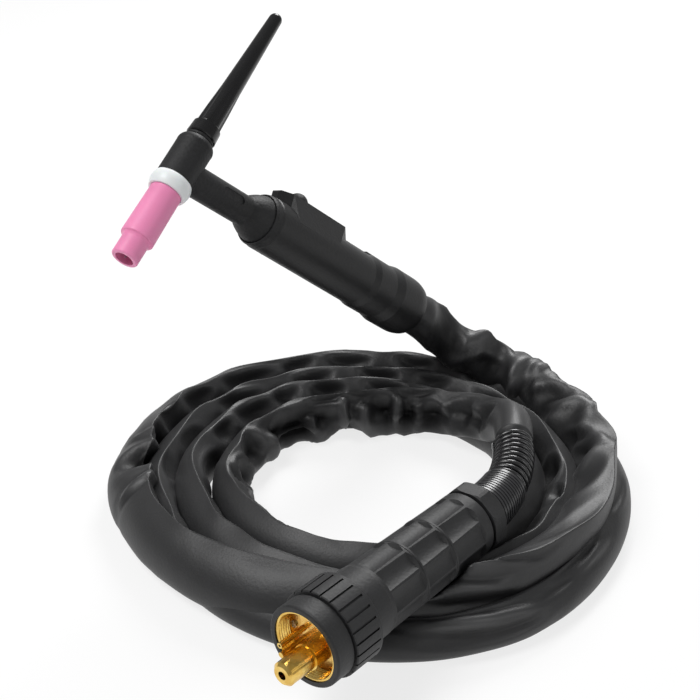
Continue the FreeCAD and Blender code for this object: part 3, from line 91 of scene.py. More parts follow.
# Route of the cable. Free stretches are points from the coil's centre on the floor; each row is
# x, y, z, half thickness, half height, lean of its top towards the coil's centre in degrees, depth of folds.
RISER = (
    (0.01976, 0.10225, 0.07179, 0.0126, 0.0126, 0, 0.0006),
    (0.0329, 0.1130, 0.0578, 0.0134, 0.0138, 0, 0.0022),
    (0.0525, 0.1172, 0.0390, 0.0146, 0.0152, 0, 0.0034),
    (0.0785, 0.1115, 0.0275, 0.0150, 0.0158, -6, 0.0036),
    (0.1005, 0.0945, 0.0215, 0.0142, 0.0160, -14, 0.0034),
    (0.1170, 0.0700, 0.0200, 0.0126, 0.0164, -22, 0.0030),
    (0.1265, 0.0390, 0.0205, 0.0112, 0.0166, -30, 0.0026),
)
# One row for each 30 degrees of the coil, clockwise from the right-hand side:
# radius, height of the cable's line, half thickness, half height, lean, depth of folds.
COIL_STEP = 30.0
COIL = (
    (0.1265, 0.0215, 0.0105, 0.0165, -34, 0.0022), (0.1240, 0.0222, 0.0106, 0.0160, -34, 0.0014),
    (0.1215, 0.0228, 0.0108, 0.0160, -14, 0.0010), (0.1225, 0.0222, 0.0102, 0.0168, 12, 0.0008),
    (0.1260, 0.0195, 0.0095, 0.0175, 28, 0.0006), (0.1330, 0.0172, 0.0096, 0.0172, 18, 0.0007),
    (0.1400, 0.0165, 0.0105, 0.0185, 38, 0.0014), (0.1395, 0.0152, 0.0100, 0.0158, 20, 0.0022),
    (0.1315, 0.0140, 0.0098, 0.0142, 8, 0.0024), (0.1275, 0.0132, 0.0098, 0.0134, 4, 0.0024),
    (0.1285, 0.0130, 0.0098, 0.0132, 2, 0.0022), (0.1325, 0.0126, 0.0098, 0.0128, 0, 0.0018),
    (0.1370, 0.0120, 0.0104, 0.0120, 0, 0.0010), (0.1330, 0.0112, 0.0112, 0.0114, 0, 0.0007),
    (0.1365, 0.0102, 0.0130, 0.0104, 0, 0.0006), (0.1355, 0.0106, 0.0112, 0.0108, 0, 0.0006),
    (0.1305, 0.0108, 0.0105, 0.0110, 0, 0.0008), (0.1230, 0.0124, 0.0098, 0.0132, 6, 0.0014),
    (0.1240, 0.0140, 0.0098, 0.0148, 10, 0.0022), (0.1185, 0.0140, 0.0098, 0.0146, 10, 0.0024),
    (0.1120, 0.0138, 0.0096, 0.0142, 6, 0.0024), (0.1050, 0.0136, 0.0096, 0.0140, 4, 0.0024),
    (0.1070, 0.0133, 0.0096, 0.0136, 2, 0.0022), (0.1080, 0.0130, 0.0098, 0.0134, 0, 0.0018),
    (0.1090, 0.0130, 0.0106, 0.0134, 4, 0.0014), (0.1080, 0.0130, 0.0106, 0.0134, 6, 0.0010),
    (0.1065, 0.0130, 0.0102, 0.0134, 8, 0.0008), (0.1055, 0.0132, 0.0100, 0.0136, 10, 0.0008),
    (0.1050, 0.0136, 0.0102, 0.0142, 14, 0.0010), (0.1042, 0.0140, 0.0106, 0.0148, 14, 0.0016),
    (0.1055, 0.0142, 0.0098, 0.0150, 12, 0.0022), (0.1015, 0.0142, 0.0098, 0.0148, 8, 0.0024),
    (0.0965, 0.0142, 0.0096, 0.0146, 6, 0.0024), (0.0885, 0.0140, 0.0096, 0.0144, 6, 0.0024),
    (0.0870, 0.0138, 0.0096, 0.0142, 4, 0.0022), (0.0880, 0.0136, 0.0098, 0.0140, 2, 0.0018),
    (0.0880, 0.0136, 0.0104, 0.0140, 4, 0.0014), (0.0865, 0.0136, 0.0104, 0.0140, 6, 0.0010),
    (0.0855, 0.0138, 0.0102, 0.0142, 10, 0.0008), (0.0845, 0.0140, 0.0100, 0.0144, 14, 0.0008),
    (0.0838, 0.0142, 0.0104, 0.0148, 14, 0.0014), (0.0838, 0.0144, 0.0106, 0.0150, 10, 0.0020),
    (0.0830, 0.0146, 0.0100, 0.0152, 6, 0.0024),
)
TAIL = (
    (-0.0725, 0.0350, 0.0148, 0.0100, 0.0154, 8, 0.0026),
    (-0.0575, 0.0535, 0.0150, 0.0100, 0.0156, 10, 0.0026),
    (-0.0340, 0.0660, 0.0150, 0.0100, 0.0156, 12, 0.0028),
    (-0.0050, 0.0735, 0.0150, 0.0102, 0.0156, 10, 0.0028),
    (0.0265, 0.0730, 0.0154, 0.0104, 0.0156, 6, 0.0026),
    (0.0530, 0.0630, 0.0180, 0.0108, 0.0154, 2, 0.0022),
    (0.0700, 0.0460, 0.0250, 0.0112, 0.0148, 0, 0.0016),
    (0.0785, 0.0270, 0.0355, 0.0112, 0.0132, 0, 0.0010),
    (0.0805, 0.0110, 0.0440, 0.0110, 0.0116, 0, 0.0005),
    (0.0782, -0.0096, 0.0445, 0.0106, 0.0106, 0, 0.0003),
)


class TorchCable(bpy.types.PropertyGroup):
    length: FloatProperty(name="Length", description="Length of the cable from the handle to the spring",
                          default=2.94, min=1.0, max=8.0, unit="LENGTH")
    width: FloatProperty(name="Sheath width", description="Width of the sheath where it lies flat",
                         default=0.031, min=0.015, max=0.05, unit="LENGTH")
    folds: FloatProperty(name="Folds", description="Depth of the sheath's folds, 1 as worn",
                         default=1.0, min=0.0, max=2.0)
    seed: IntProperty(name="Seed", description="Picks another set of folds", default=11, min=0)
    colour: FloatVectorProperty(name="Sheath colour", description="Colour of the leatherette sheath",
                                subtype="COLOR", size=3, min=0, max=1, default=(0.0135, 0.0136, 0.0145))


class TorchFinishes(bpy.types.PropertyGroup):
    rubber: FloatVectorProperty(name="Rubber", description="Moulded cover of the head and neck",
                                subtype="COLOR", size=3, min=0, max=1, default=(0.012, 0.0122, 0.013))
    plastic: FloatVectorProperty(name="Handle plastic", description="Shells of the handle",
                                 subtype="COLOR", size=3, min=0, max=1, default=(0.0075, 0.0076, 0.0082))
    ceramic: FloatVectorProperty(name="Ceramic", description="Alumina nozzle",
                                 subtype="COLOR", size=3, min=0, max=1, default=(0.90, 0.28, 0.51))
    brass: FloatVectorProperty(name="Brass", description="Contacts and threads of the connector",
                               subtype="COLOR", size=3, min=0, max=1, default=(0.98, 0.76, 0.28))
    connector: FloatVectorProperty(name="Connector plastic", description="Nut and handle of the connector",
                                   subtype="COLOR", size=3, min=0, max=1, default=(0.016, 0.0162, 0.017))


class TorchStage(bpy.types.PropertyGroup):
    camera: FloatVectorProperty(name="Camera", description="Place of the camera", subtype="TRANSLATION",
                                size=3, unit="LENGTH", default=(0.0044, -0.729, 0.3505))
    pitch: FloatProperty(name="Pitch", description="How far the camera looks down", subtype="ANGLE",
                         default=math.radians(29.0))
    lens: FloatProperty(name="Lens", description="Focal length in millimetres on a 36 mm sensor", default=70.46)
    floor: FloatVectorProperty(name="Floor colour", description="Colour of the studio floor",
                               subtype="COLOR", size=3, min=0, max=1, default=(0.93, 0.93, 0.93))


# Meshes


def grid_faces(rows, columns):
    """Quads of a grid whose columns close on themselves: each joins its neighbours in row and column."""
    i, j = np.meshgrid(np.arange(rows - 1), np.arange(columns), indexing="ij")
    k = (j + 1) % columns
    return np.stack((i * columns + j, i * columns + k, (i + 1) * columns + k, (i + 1) * columns + j), -1).reshape(-1, 4)


def mesh_object(name, points, faces, material, smooth=True):
    """Object at the origin from an array of points and a list of faces."""
    mesh = bpy.data.meshes.new(name)
    mesh.from_pydata(points.tolist(), [], faces)
    mesh.polygons.foreach_set("use_smooth", np.full(len(mesh.polygons), smooth))
    mesh.materials.append(material)
    mesh.update()
    piece = bpy.data.objects.new(name, mesh)
    bpy.context.scene.collection.objects.link(piece)
    return piece


def closed_tube(name, rings, material):
    """Tube through rings of points, closed at both ends by a point in the middle of the last ring."""
    rows, columns = rings.shape[:2]
    points = np.concatenate((rings.reshape(-1, 3), rings[0].mean(0)[None], rings[-1].mean(0)[None]))
    faces = grid_faces(rows, columns).tolist()
    first, last = rows * columns, rows * columns + 1
    j = np.arange(columns)
    k = (j + 1) % columns
    faces += np.stack((k, j, np.full(columns, first)), -1).tolist()
    base = (rows - 1) * columns
    faces += np.stack((base + j, base + k, np.full(columns, last)), -1).tolist()
    return mesh_object(name, points, faces, material)


def spline_points(name, points, resolution=16):
    """Points of the smooth curve that has these control points, read from a curve with no bevel."""
    curve = bpy.data.curves.new(name, "CURVE")
    curve.dimensions = "3D"
    spline = curve.splines.new("NURBS")
    spline.points.add(len(points) - 1)
    spline.points.foreach_set("co", np.c_[points, np.ones(len(points))].ravel())
    spline.order_u = 3
    spline.use_endpoint_u = True
    spline.resolution_u = resolution
    guide = bpy.data.objects.new(name, curve)
    bpy.context.scene.collection.objects.link(guide)
    bpy.context.view_layer.update()
    mesh = bpy.data.meshes.new_from_object(guide.evaluated_get(bpy.context.evaluated_depsgraph_get()))
    found = np.zeros(len(mesh.vertices) * 3)
    mesh.vertices.foreach_get("co", found)
    bpy.data.meshes.remove(mesh)
    bpy.data.objects.remove(guide)
    bpy.data.curves.remove(curve)
    return found.reshape(-1, 3)


def evenly(line, step):
    """The line's points set at equal distances of about one step, and their distance from its start."""
    distance = np.r_[0, np.cumsum(np.linalg.norm(np.diff(line, axis=0), axis=1))]
    stations = np.linspace(0, distance[-1], int(round(distance[-1] / step)) + 1)
    return np.stack([np.interp(stations, distance, line[:, k]) for k in range(3)], 1), stations


def smoothed(values, width):
    """Running mean over this many stations to either side, weighted by a Hann window, with the ends repeated."""
    padded = np.pad(values, (width, width), mode="edge")
    kernel = np.hanning(2 * width + 1)
    return np.convolve(padded, kernel / kernel.sum(), mode="valid")


# Finishes


def node_group(name, inputs, outputs):
    """New shader node group with these sockets, and its group input and output nodes."""
    group = bpy.data.node_groups.new(name, "ShaderNodeTree")
    for socket, kind, value in inputs:
        made = group.interface.new_socket(socket, in_out="INPUT", socket_type=kind)
        if value is not None:
            made.default_value = value
    for socket, kind in outputs:
        group.interface.new_socket(socket, in_out="OUTPUT", socket_type=kind)
    return group, group.nodes.new("NodeGroupInput"), group.nodes.new("NodeGroupOutput")


def maths(tree, operation, first, second, third=None):
    """Math node fed by sockets or numbers; gives its output socket."""
    node = tree.nodes.new("ShaderNodeMath")
    node.operation = operation
    for socket, value in zip(node.inputs, (first, second, third)):
        if isinstance(value, bpy.types.NodeSocket):
            tree.links.new(value, socket)
        elif value is not None:
            socket.default_value = value
    return node.outputs[0]


def noise(tree, vector, scale, detail=2.0, roughness=0.5):
    """Noise texture on a vector; gives its value."""
    node = tree.nodes.new("ShaderNodeTexNoise")
    tree.links.new(vector, node.inputs["Vector"])
    if isinstance(scale, bpy.types.NodeSocket):
        tree.links.new(scale, node.inputs["Scale"])
    else:
        node.inputs["Scale"].default_value = scale
    node.inputs["Detail"].default_value = detail
    node.inputs["Roughness"].default_value = roughness
    return node.outputs["Fac"]


def make_grain():
    """Grain of leatherette, rubber or moulded plastic: small cells under fine noise, and a slow change of tone."""
    group, given, out = node_group(
        "moulded_grain",
        [("Vector", "NodeSocketVector", None), ("Scale", "NodeSocketFloat", 900.0), ("Cells", "NodeSocketFloat", 0.5),
         ("Colour", "NodeSocketColor", (0.03, 0.03, 0.03, 1)), ("Contrast", "NodeSocketFloat", 0.25),
         ("Roughness", "NodeSocketFloat", 0.5), ("Spread", "NodeSocketFloat", 0.1)],
        [("Colour", "NodeSocketColor"), ("Roughness", "NodeSocketFloat"), ("Height", "NodeSocketFloat")])
    cells = group.nodes.new("ShaderNodeTexVoronoi")
    cells.feature = "SMOOTH_F1"
    group.links.new(given.outputs["Vector"], cells.inputs["Vector"])
    group.links.new(given.outputs["Scale"], cells.inputs["Scale"])
    fine = noise(group, given.outputs["Vector"], maths(group, "MULTIPLY", given.outputs["Scale"], 1.7), 3.0, 0.6)
    slow = noise(group, given.outputs["Vector"], 38.0, 3.0, 0.55)
    height = maths(group, "ADD", maths(group, "MULTIPLY", cells.outputs["Distance"], given.outputs["Cells"]),
                   maths(group, "MULTIPLY", fine, 0.5))
    group.links.new(height, out.inputs["Height"])
    mixed = maths(group, "ADD", maths(group, "MULTIPLY", slow, 0.45), maths(group, "MULTIPLY", fine, 0.55))
    change = maths(group, "SUBTRACT", mixed, 0.5)
    tone = maths(group, "MULTIPLY_ADD", change, given.outputs["Contrast"], 1.0)
    scaled = group.nodes.new("ShaderNodeVectorMath")
    scaled.operation = "SCALE"
    group.links.new(given.outputs["Colour"], scaled.inputs[0])
    group.links.new(tone, scaled.inputs["Scale"])
    group.links.new(scaled.outputs[0], out.inputs["Colour"])
    group.links.new(maths(group, "MULTIPLY_ADD", change, given.outputs["Spread"], given.outputs["Roughness"]),
                    out.inputs["Roughness"])
    return group


def make_turned_lines():
    """Fine lines left by a turning tool: bands across X, broken up by noise, with a slow change of tone."""
    group, given, out = node_group(
        "turned_lines",
        [("Vector", "NodeSocketVector", None), ("Scale", "NodeSocketFloat", 900.0),
         ("Colour", "NodeSocketColor", (0.8, 0.5, 0.1, 1)), ("Dark Colour", "NodeSocketColor", (0.4, 0.2, 0.05, 1)),
         ("Roughness", "NodeSocketFloat", 0.2), ("Spread", "NodeSocketFloat", 0.15)],
        [("Colour", "NodeSocketColor"), ("Roughness", "NodeSocketFloat"), ("Height", "NodeSocketFloat")])
    bands = group.nodes.new("ShaderNodeTexWave")
    bands.bands_direction = "X"
    bands.inputs["Distortion"].default_value = 1.5
    bands.inputs["Detail"].default_value = 2.0
    group.links.new(given.outputs["Vector"], bands.inputs["Vector"])
    group.links.new(given.outputs["Scale"], bands.inputs["Scale"])
    group.links.new(bands.outputs["Fac"], out.inputs["Height"])
    stain = noise(group, given.outputs["Vector"], 210.0, 4.0, 0.6)
    mask = maths(group, "MULTIPLY_ADD", maths(group, "SUBTRACT", stain, 0.42), 2.2, 0.0)
    mix = group.nodes.new("ShaderNodeMix")
    mix.data_type = "RGBA"
    group.links.new(maths(group, "MINIMUM", maths(group, "MAXIMUM", mask, 0.0), 1.0), mix.inputs[0])
    group.links.new(given.outputs["Dark Colour"], mix.inputs[6])
    group.links.new(given.outputs["Colour"], mix.inputs[7])
    group.links.new(mix.outputs[2], out.inputs["Colour"])
    rough = maths(group, "MULTIPLY_ADD", maths(group, "SUBTRACT", 0.6, stain), given.outputs["Spread"],
                  given.outputs["Roughness"])
    group.links.new(rough, out.inputs["Roughness"])
    return group


def local_coordinates(tree, origin, along, across):
    """Object coordinates seen from a frame whose X runs along an axis; for patterns that follow a turned piece."""
    place = tree.nodes.new("ShaderNodeTexCoord")
    turn = tree.nodes.new("ShaderNodeMapping")
    turn.vector_type = "TEXTURE"
    third = np.cross(along, across)
    rotation = Matrix(np.stack((along, across, third), 1).tolist()).to_euler()
    turn.inputs["Location"].default_value = origin
    turn.inputs["Rotation"].default_value = rotation
    tree.links.new(place.outputs["Object"], turn.inputs["Vector"])
    return turn.outputs["Vector"]


HEAD_FRAME = (ALONG * HEAD_CENTRE, HEAD_AXIS, SIDE)
CONNECTOR_FRAME = (CONNECTOR_FRONT, CONNECTOR_AXIS, np.array((0, 0, 1.0)))
PLAIN_FRAME = (np.zeros(3), np.array((1.0, 0, 0)), np.array((0, 1.0, 0)))


def finish(name, effect, values, sockets, bump=0.3, reach=0.0004, place=PLAIN_FRAME):
    """Material that feeds one effect group into a Principled shader, with its plain values on the shader itself."""
    material = bpy.data.materials.new(name)
    material.use_nodes = True
    tree = material.node_tree
    shader = tree.nodes["Principled BSDF"]
    group = tree.nodes.new("ShaderNodeGroup")
    group.node_tree = bpy.data.node_groups[effect]
    tree.links.new(local_coordinates(tree, *place), group.inputs["Vector"])
    for socket, value in values.items():
        group.inputs[socket].default_value = (*value, 1) if isinstance(value, tuple) else value
    for socket, value in sockets.items():
        shader.inputs[socket].default_value = value
    tree.links.new(group.outputs["Colour"], shader.inputs["Base Color"])
    tree.links.new(group.outputs["Roughness"], shader.inputs["Roughness"])
    relief = tree.nodes.new("ShaderNodeBump")
    relief.inputs["Strength"].default_value = bump
    relief.inputs["Distance"].default_value = reach
    tree.links.new(group.outputs["Height"], relief.inputs["Height"])
    tree.links.new(relief.outputs["Normal"], shader.inputs["Normal"])
    return material


def paint_shade_in_hollows(material, level):
    """Painted shade in the hollows and painted light on the ridges, by the height of the folds that the mesh carries:
    the base colour and the specular level are lowered in the hollows and raised on the ridges.
    """
    tree = material.node_tree
    shader = tree.nodes["Principled BSDF"]
    hollow = tree.nodes.new("ShaderNodeAttribute")
    hollow.attribute_name = "hollow"
    depth = maths(tree, "MINIMUM", maths(tree, "MAXIMUM", hollow.outputs["Fac"], -0.7), 0.88)
    # Share of colour and shine that is kept: below 1 paints shade in a hollow, above 1 paints light on a ridge
    share = maths(tree, "SUBTRACT", 1.0, depth)
    tree.links.new(maths(tree, "MULTIPLY", share, level), shader.inputs["Specular IOR Level"])
    scaled = tree.nodes.new("ShaderNodeVectorMath")
    scaled.operation = "SCALE"
    tree.links.new(shader.inputs["Base Color"].links[0].from_socket, scaled.inputs[0])
    tree.links.new(share, scaled.inputs["Scale"])
    tree.links.new(scaled.outputs[0], shader.inputs["Base Color"])


def dress(material, *names):
    """Give CAD nodes this material."""
    for name in names:
        NODES[name].material_slots[0].material = material


class TORCH_OT_effects(bpy.types.Operator):
    """Build the effects that several finishes share"""
    bl_idname = "torch.effects"
    bl_label = "Shared effects"

    def execute(self, context):
        make_grain()
        make_turned_lines()
        return {"FINISHED"}


# Cable


# Marked folds of the sheath: control row (counted from the coil's first, so the riser's rows are below 0 and the
# tail's follow the coil's), angle from outward over the top in degrees, half length, half width, slant in degrees,
# depth. A negative depth is a ridge.
FOLDS = (
    (-5.4, 150, 0.0218, 0.0143, 38, 0.0046), (-5.05, 60, 0.0184, 0.011, -30, 0.0028),
    (-4.62, 120, 0.0184, 0.0059, -48, -0.0018), (-4.3, 185, 0.0184, 0.011, -30, 0.0032),
    (-3.9, 40, 0.023, 0.0132, 25, 0.0028), (-3.75, 160, 0.0207, 0.0132, 42, 0.0051),
    (-3.3, 125, 0.0207, 0.0059, 64, -0.0026), (-2.95, 150, 0.0207, 0.0056, -70, -0.0024),
    (-2.75, 175, 0.0161, 0.0099, 50, 0.0033), (-2.55, 110, 0.023, 0.0059, 10, -0.0016),
    (-2.2, 60, 0.0253, 0.0099, -20, 0.0017), (-2.04, 160, 0.0184, 0.011, -25, 0.0038),
    (-1.5, 135, 0.023, 0.0059, -38, -0.0023), (-1.05, 172, 0.0184, 0.011, 30, 0.0033),
    (-0.55, 185, 0.0207, 0.011, -25, 0.0041), (-0.25, 148, 0.0184, 0.0059, -48, -0.0021),
    (0.03, 195, 0.0184, 0.011, 35, 0.0039), (0.45, 170, 0.0207, 0.011, 20, 0.0032),
    (1.2, 120, 0.03, 0.006, 8, 0.0014), (1.9, 60, 0.03, 0.006, -6, 0.0016),
    (2.2, 75, 0.034, 0.005, 10, -0.0022), (2.4, 5, 0.034, 0.005, 4, 0.0022),
    (2.45, 30, 0.028, 0.005, 6, -0.002), (4.6, 150, 0.022, 0.007, -6, 0.0022),
    (5.25, 150, 0.02, 0.008, 10, 0.0024), (5.6, 98, 0.0045, 0.028, -14, -0.0036),
    (5.95, 92, 0.0132, 0.03, -14, 0.0088), (6.06, 150, 0.0115, 0.016, -20, 0.0075),
    (6.34, 100, 0.004, 0.024, -16, -0.0018), (6.42, 135, 0.01, 0.014, 15, 0.005),
    (6.7, 110, 0.012, 0.012, -30, 0.003), (7.15, 126, 0.014, 0.007, 8, 0.0032),
    (7.72, 132, 0.02, 0.0085, 6, 0.0043), (8.25, 128, 0.012, 0.0075, -6, 0.0036),
    (8.77, 128, 0.016, 0.0075, 4, 0.0042), (9.46, 126, 0.013, 0.007, 4, 0.004),
    (10.15, 126, 0.013, 0.007, -4, 0.003), (12.4, 60, 0.022, 0.006, 10, 0.0014),
    (12.6, 285, 0.05, 0.006, 4, 0.002), (13.3, 55, 0.03, 0.004, 6, -0.0014),
    (13.4, 60, 0.034, 0.005, -6, 0.0016), (14.28, 50, 0.03, 0.0055, 5, -0.003),
    (14.3, 15, 0.034, 0.006, 0, 0.0016), (14.6, 60, 0.03, 0.0045, 5, -0.002),
    (15.1, 70, 0.026, 0.006, 5, 0.0016), (17.4, 160, 0.015, 0.009, 12, 0.0009),
    (17.95, 122, 0.012, 0.007, -16, 0.0018), (18.55, 140, 0.014, 0.008, 8, 0.0018),
    (19.4, 128, 0.018, 0.008, 8, 0.0039), (20.31, 124, 0.014, 0.008, -6, 0.0046),
    (21.1, 122, 0.014, 0.0075, 6, 0.0044), (21.72, 122, 0.012, 0.007, -4, 0.0036),
    (22.5, 124, 0.014, 0.007, 4, 0.003), (24.1, 135, 0.013, 0.008, 15, 0.0046),
    (24.55, 105, 0.01, 0.006, -30, 0.0036), (25.2, 125, 0.018, 0.007, -10, 0.0026),
    (26.6, 120, 0.022, 0.006, -8, 0.0018), (27.4, 140, 0.022, 0.007, 8, 0.0022),
    (28.8, 140, 0.016, 0.008, 10, 0.0009), (29.45, 150, 0.014, 0.009, -12, 0.0012),
    (30.14, 160, 0.018, 0.01, 4, 0.0029), (30.75, 126, 0.012, 0.007, 8, 0.0034),
    (31.33, 130, 0.017, 0.0085, 6, 0.0039), (31.84, 122, 0.011, 0.0075, -6, 0.0042),
    (32.42, 126, 0.013, 0.008, 6, 0.0044), (33.18, 118, 0.014, 0.0075, 4, 0.0042),
    (33.9, 122, 0.013, 0.007, -6, 0.0034), (37.3, 130, 0.024, 0.007, 10, 0.002),
    (38.6, 140, 0.02, 0.008, -12, 0.0028), (39.6, 150, 0.015, 0.009, 12, 0.004),
    (40.4, 135, 0.012, 0.008, -14, 0.0042), (41.1, 160, 0.013, 0.01, 12, 0.0046),
    (41.65, 125, 0.01, 0.007, -30, 0.0036), (42.03, 159, 0.01, 0.011, 60, 0.005),
    (42.65, 140, 0.01, 0.012, 80, 0.0056), (43.19, 178, 0.009, 0.01, 40, -0.0026),
    (43.45, 120, 0.012, 0.007, 0, 0.003), (43.62, 215, 0.0136, 0.014, 0, 0.0019),
    (44.25, 150, 0.0247, 0.0135, 0, 0.0078), (44.25, 205, 0.0156, 0.009, 0, 0.0041),
    (44.62, 218, 0.0119, 0.014, 0, 0.0023), (44.78, 165, 0.006, 0.012, -25, -0.003),
    (45, 108, 0.0156, 0.006, -10, 0.0036), (45.15, 160, 0.0097, 0.012, 12, 0.0058),
    (45.52, 162, 0.0039, 0.013, -6, -0.0041), (45.56, 218, 0.0153, 0.016, 0, 0.0033),
    (45.72, 150, 0.006, 0.012, 6, 0.0026), (45.95, 106, 0.013, 0.006, 10, 0.0031),
    (46.05, 185, 0.0156, 0.012, 0, -0.0024), (46.3, 215, 0.0102, 0.012, 0, -0.0009),
    (46.36, 150, 0.0111, 0.013, 6, 0.0074), (46.66, 158, 0.0051, 0.013, 8, -0.0034),
    (46.7, 190, 0.0104, 0.008, 0, 0.0036), (46.88, 165, 0.0078, 0.012, -8, 0.0061),
    (47, 106, 0.0156, 0.006, -12, 0.0034), (47.3, 150, 0.0182, 0.01, 14, 0.0036),
    (47.45, 218, 0.0187, 0.014, 0, 0.0024), (47.66, 168, 0.013, 0.01, 30, 0.0043),
    (48.3, 150, 0.0156, 0.009, -25, 0.0041), (48.5, 215, 0.0204, 0.014, 0, 0.0014),
    (48.9, 168, 0.0143, 0.009, 25, 0.0039), (49.5, 150, 0.0156, 0.008, -20, 0.0031),
)


RING_STEP = 0.0028           # distance between the sheath's rings
RING_POINTS = 52
MEAN_RADIUS = 0.013          # turns an angle round the sheath into a distance
ROUND_ENDS = 0.07            # from each end the section loosens from round to a drop over this length
DROP_POWER, DROP_SCALE = 0.5, 0.80
CREST_RISE, CREST_WIDTH = 0.08, 0.35       # of the pressed crest: share of the height, and radians
DIP_MOST, DIP_SHARE = 0.0036, 0.3          # how far marked folds lower the crest, and what the height loses by it
DIP_ANGLES = (100, 165)      # folds between these angles lower the crest
WANDER_LENGTH, WANDER_SWELL, WANDER_SWAY = 0.0085, 0.027, 1.4   # metres to a radian, of the swell too, and its share
WANDER_BY_FOLD, WANDER_BY_DIP = 50, 36     # radians of the crest's turn for each metre of fold and of dip
FULL_SHADE_DEPTH = 0.0078         # depth that counts as 1 in the sheath's painted shade of hollows and painted light of ridges
STRAY_SPACING = 0.018        # one small fold for each such length
HOLLOW_STEEP, HOLLOW_GENTLE = 1.45, 0.72   # stretch of a hollow before and after its middle, as the angle grows
LIP_HEIGHT, LIP_PLACE, LIP_WIDTH = 0.22, 1.1, 0.3   # of a hollow's lip: share of the depth, and shares of its size
ROW_SEARCH = 260             # points of the line among which a control row is looked for
CLEARANCE = 0.0004           # between the floor and the sheath's lowest points


def coil_rows():
    """Control rows of the coil: the n-th lies n steps clockwise from the right, on its own radius and height."""
    drawn = math.cos(math.radians(COIL_STEP)) * 0.25 + 0.75      # share of a row's radius at which the spline passes
    rows = []
    for n, (radius, height, *section) in enumerate(COIL):
        angle = math.radians(-COIL_STEP * n)
        rows.append((radius / drawn * math.cos(angle), radius / drawn * math.sin(angle), height, *section))
    return rows


def fold_field(distance, angle, places, around):
    """Height of the sheath's folds over a grid of distances along it and angles round it.
    A hollow is -depth (1 - r^2) inside r = 1, with a lip 0.22 depth exp(-((r - 1.1) / 0.3)^2) round it, where
    r^2 = p^2 + q^2 and p, q run along and across the fold in its own sizes; q is stretched so that the wall at the
    smaller angle is steep.
    A negative depth makes it a ridge, which isn't stretched."""
    field = np.zeros(np.broadcast(distance, angle).shape)
    for middle, turn, long, wide, slant, depth in places:
        near = np.abs(distance[:, 0] - middle) < 2.2 * max(long, wide)
        s = distance[near] - middle
        t = around * (np.mod(angle - math.radians(turn) + math.pi, 2 * math.pi) - math.pi)
        lean = math.radians(slant)
        p = (s * math.cos(lean) + t * math.sin(lean)) / long
        q = (t * math.cos(lean) - s * math.sin(lean)) / wide
        q = np.where(q < 0, HOLLOW_STEEP * q, HOLLOW_GENTLE * q) if depth > 0 else q
        r = np.sqrt(p * p + q * q)
        lip = LIP_HEIGHT * np.exp(-((r - LIP_PLACE) / LIP_WIDTH) ** 2)
        field[near] += depth * (lip - np.maximum(1 - r * r, 0))
    return field


def stray_folds(station, fold, seed):
    """Small folds strewn over the sheath, deeper where the rows say that it is creased."""
    random = np.random.default_rng(seed)
    places = []
    for n in range(int(station[-1] / STRAY_SPACING)):
        middle = random.uniform(0, station[-1])
        turn, slant = random.uniform(0, 360), random.choice((-1, 1)) * random.uniform(10, 70)
        long, wide, share = random.uniform(0.010, 0.022), random.uniform(0.004, 0.007), random.uniform(-0.2, 0.35)
        places.append((middle, turn, long, wide, slant, share * np.interp(middle, station, fold)))
    return places


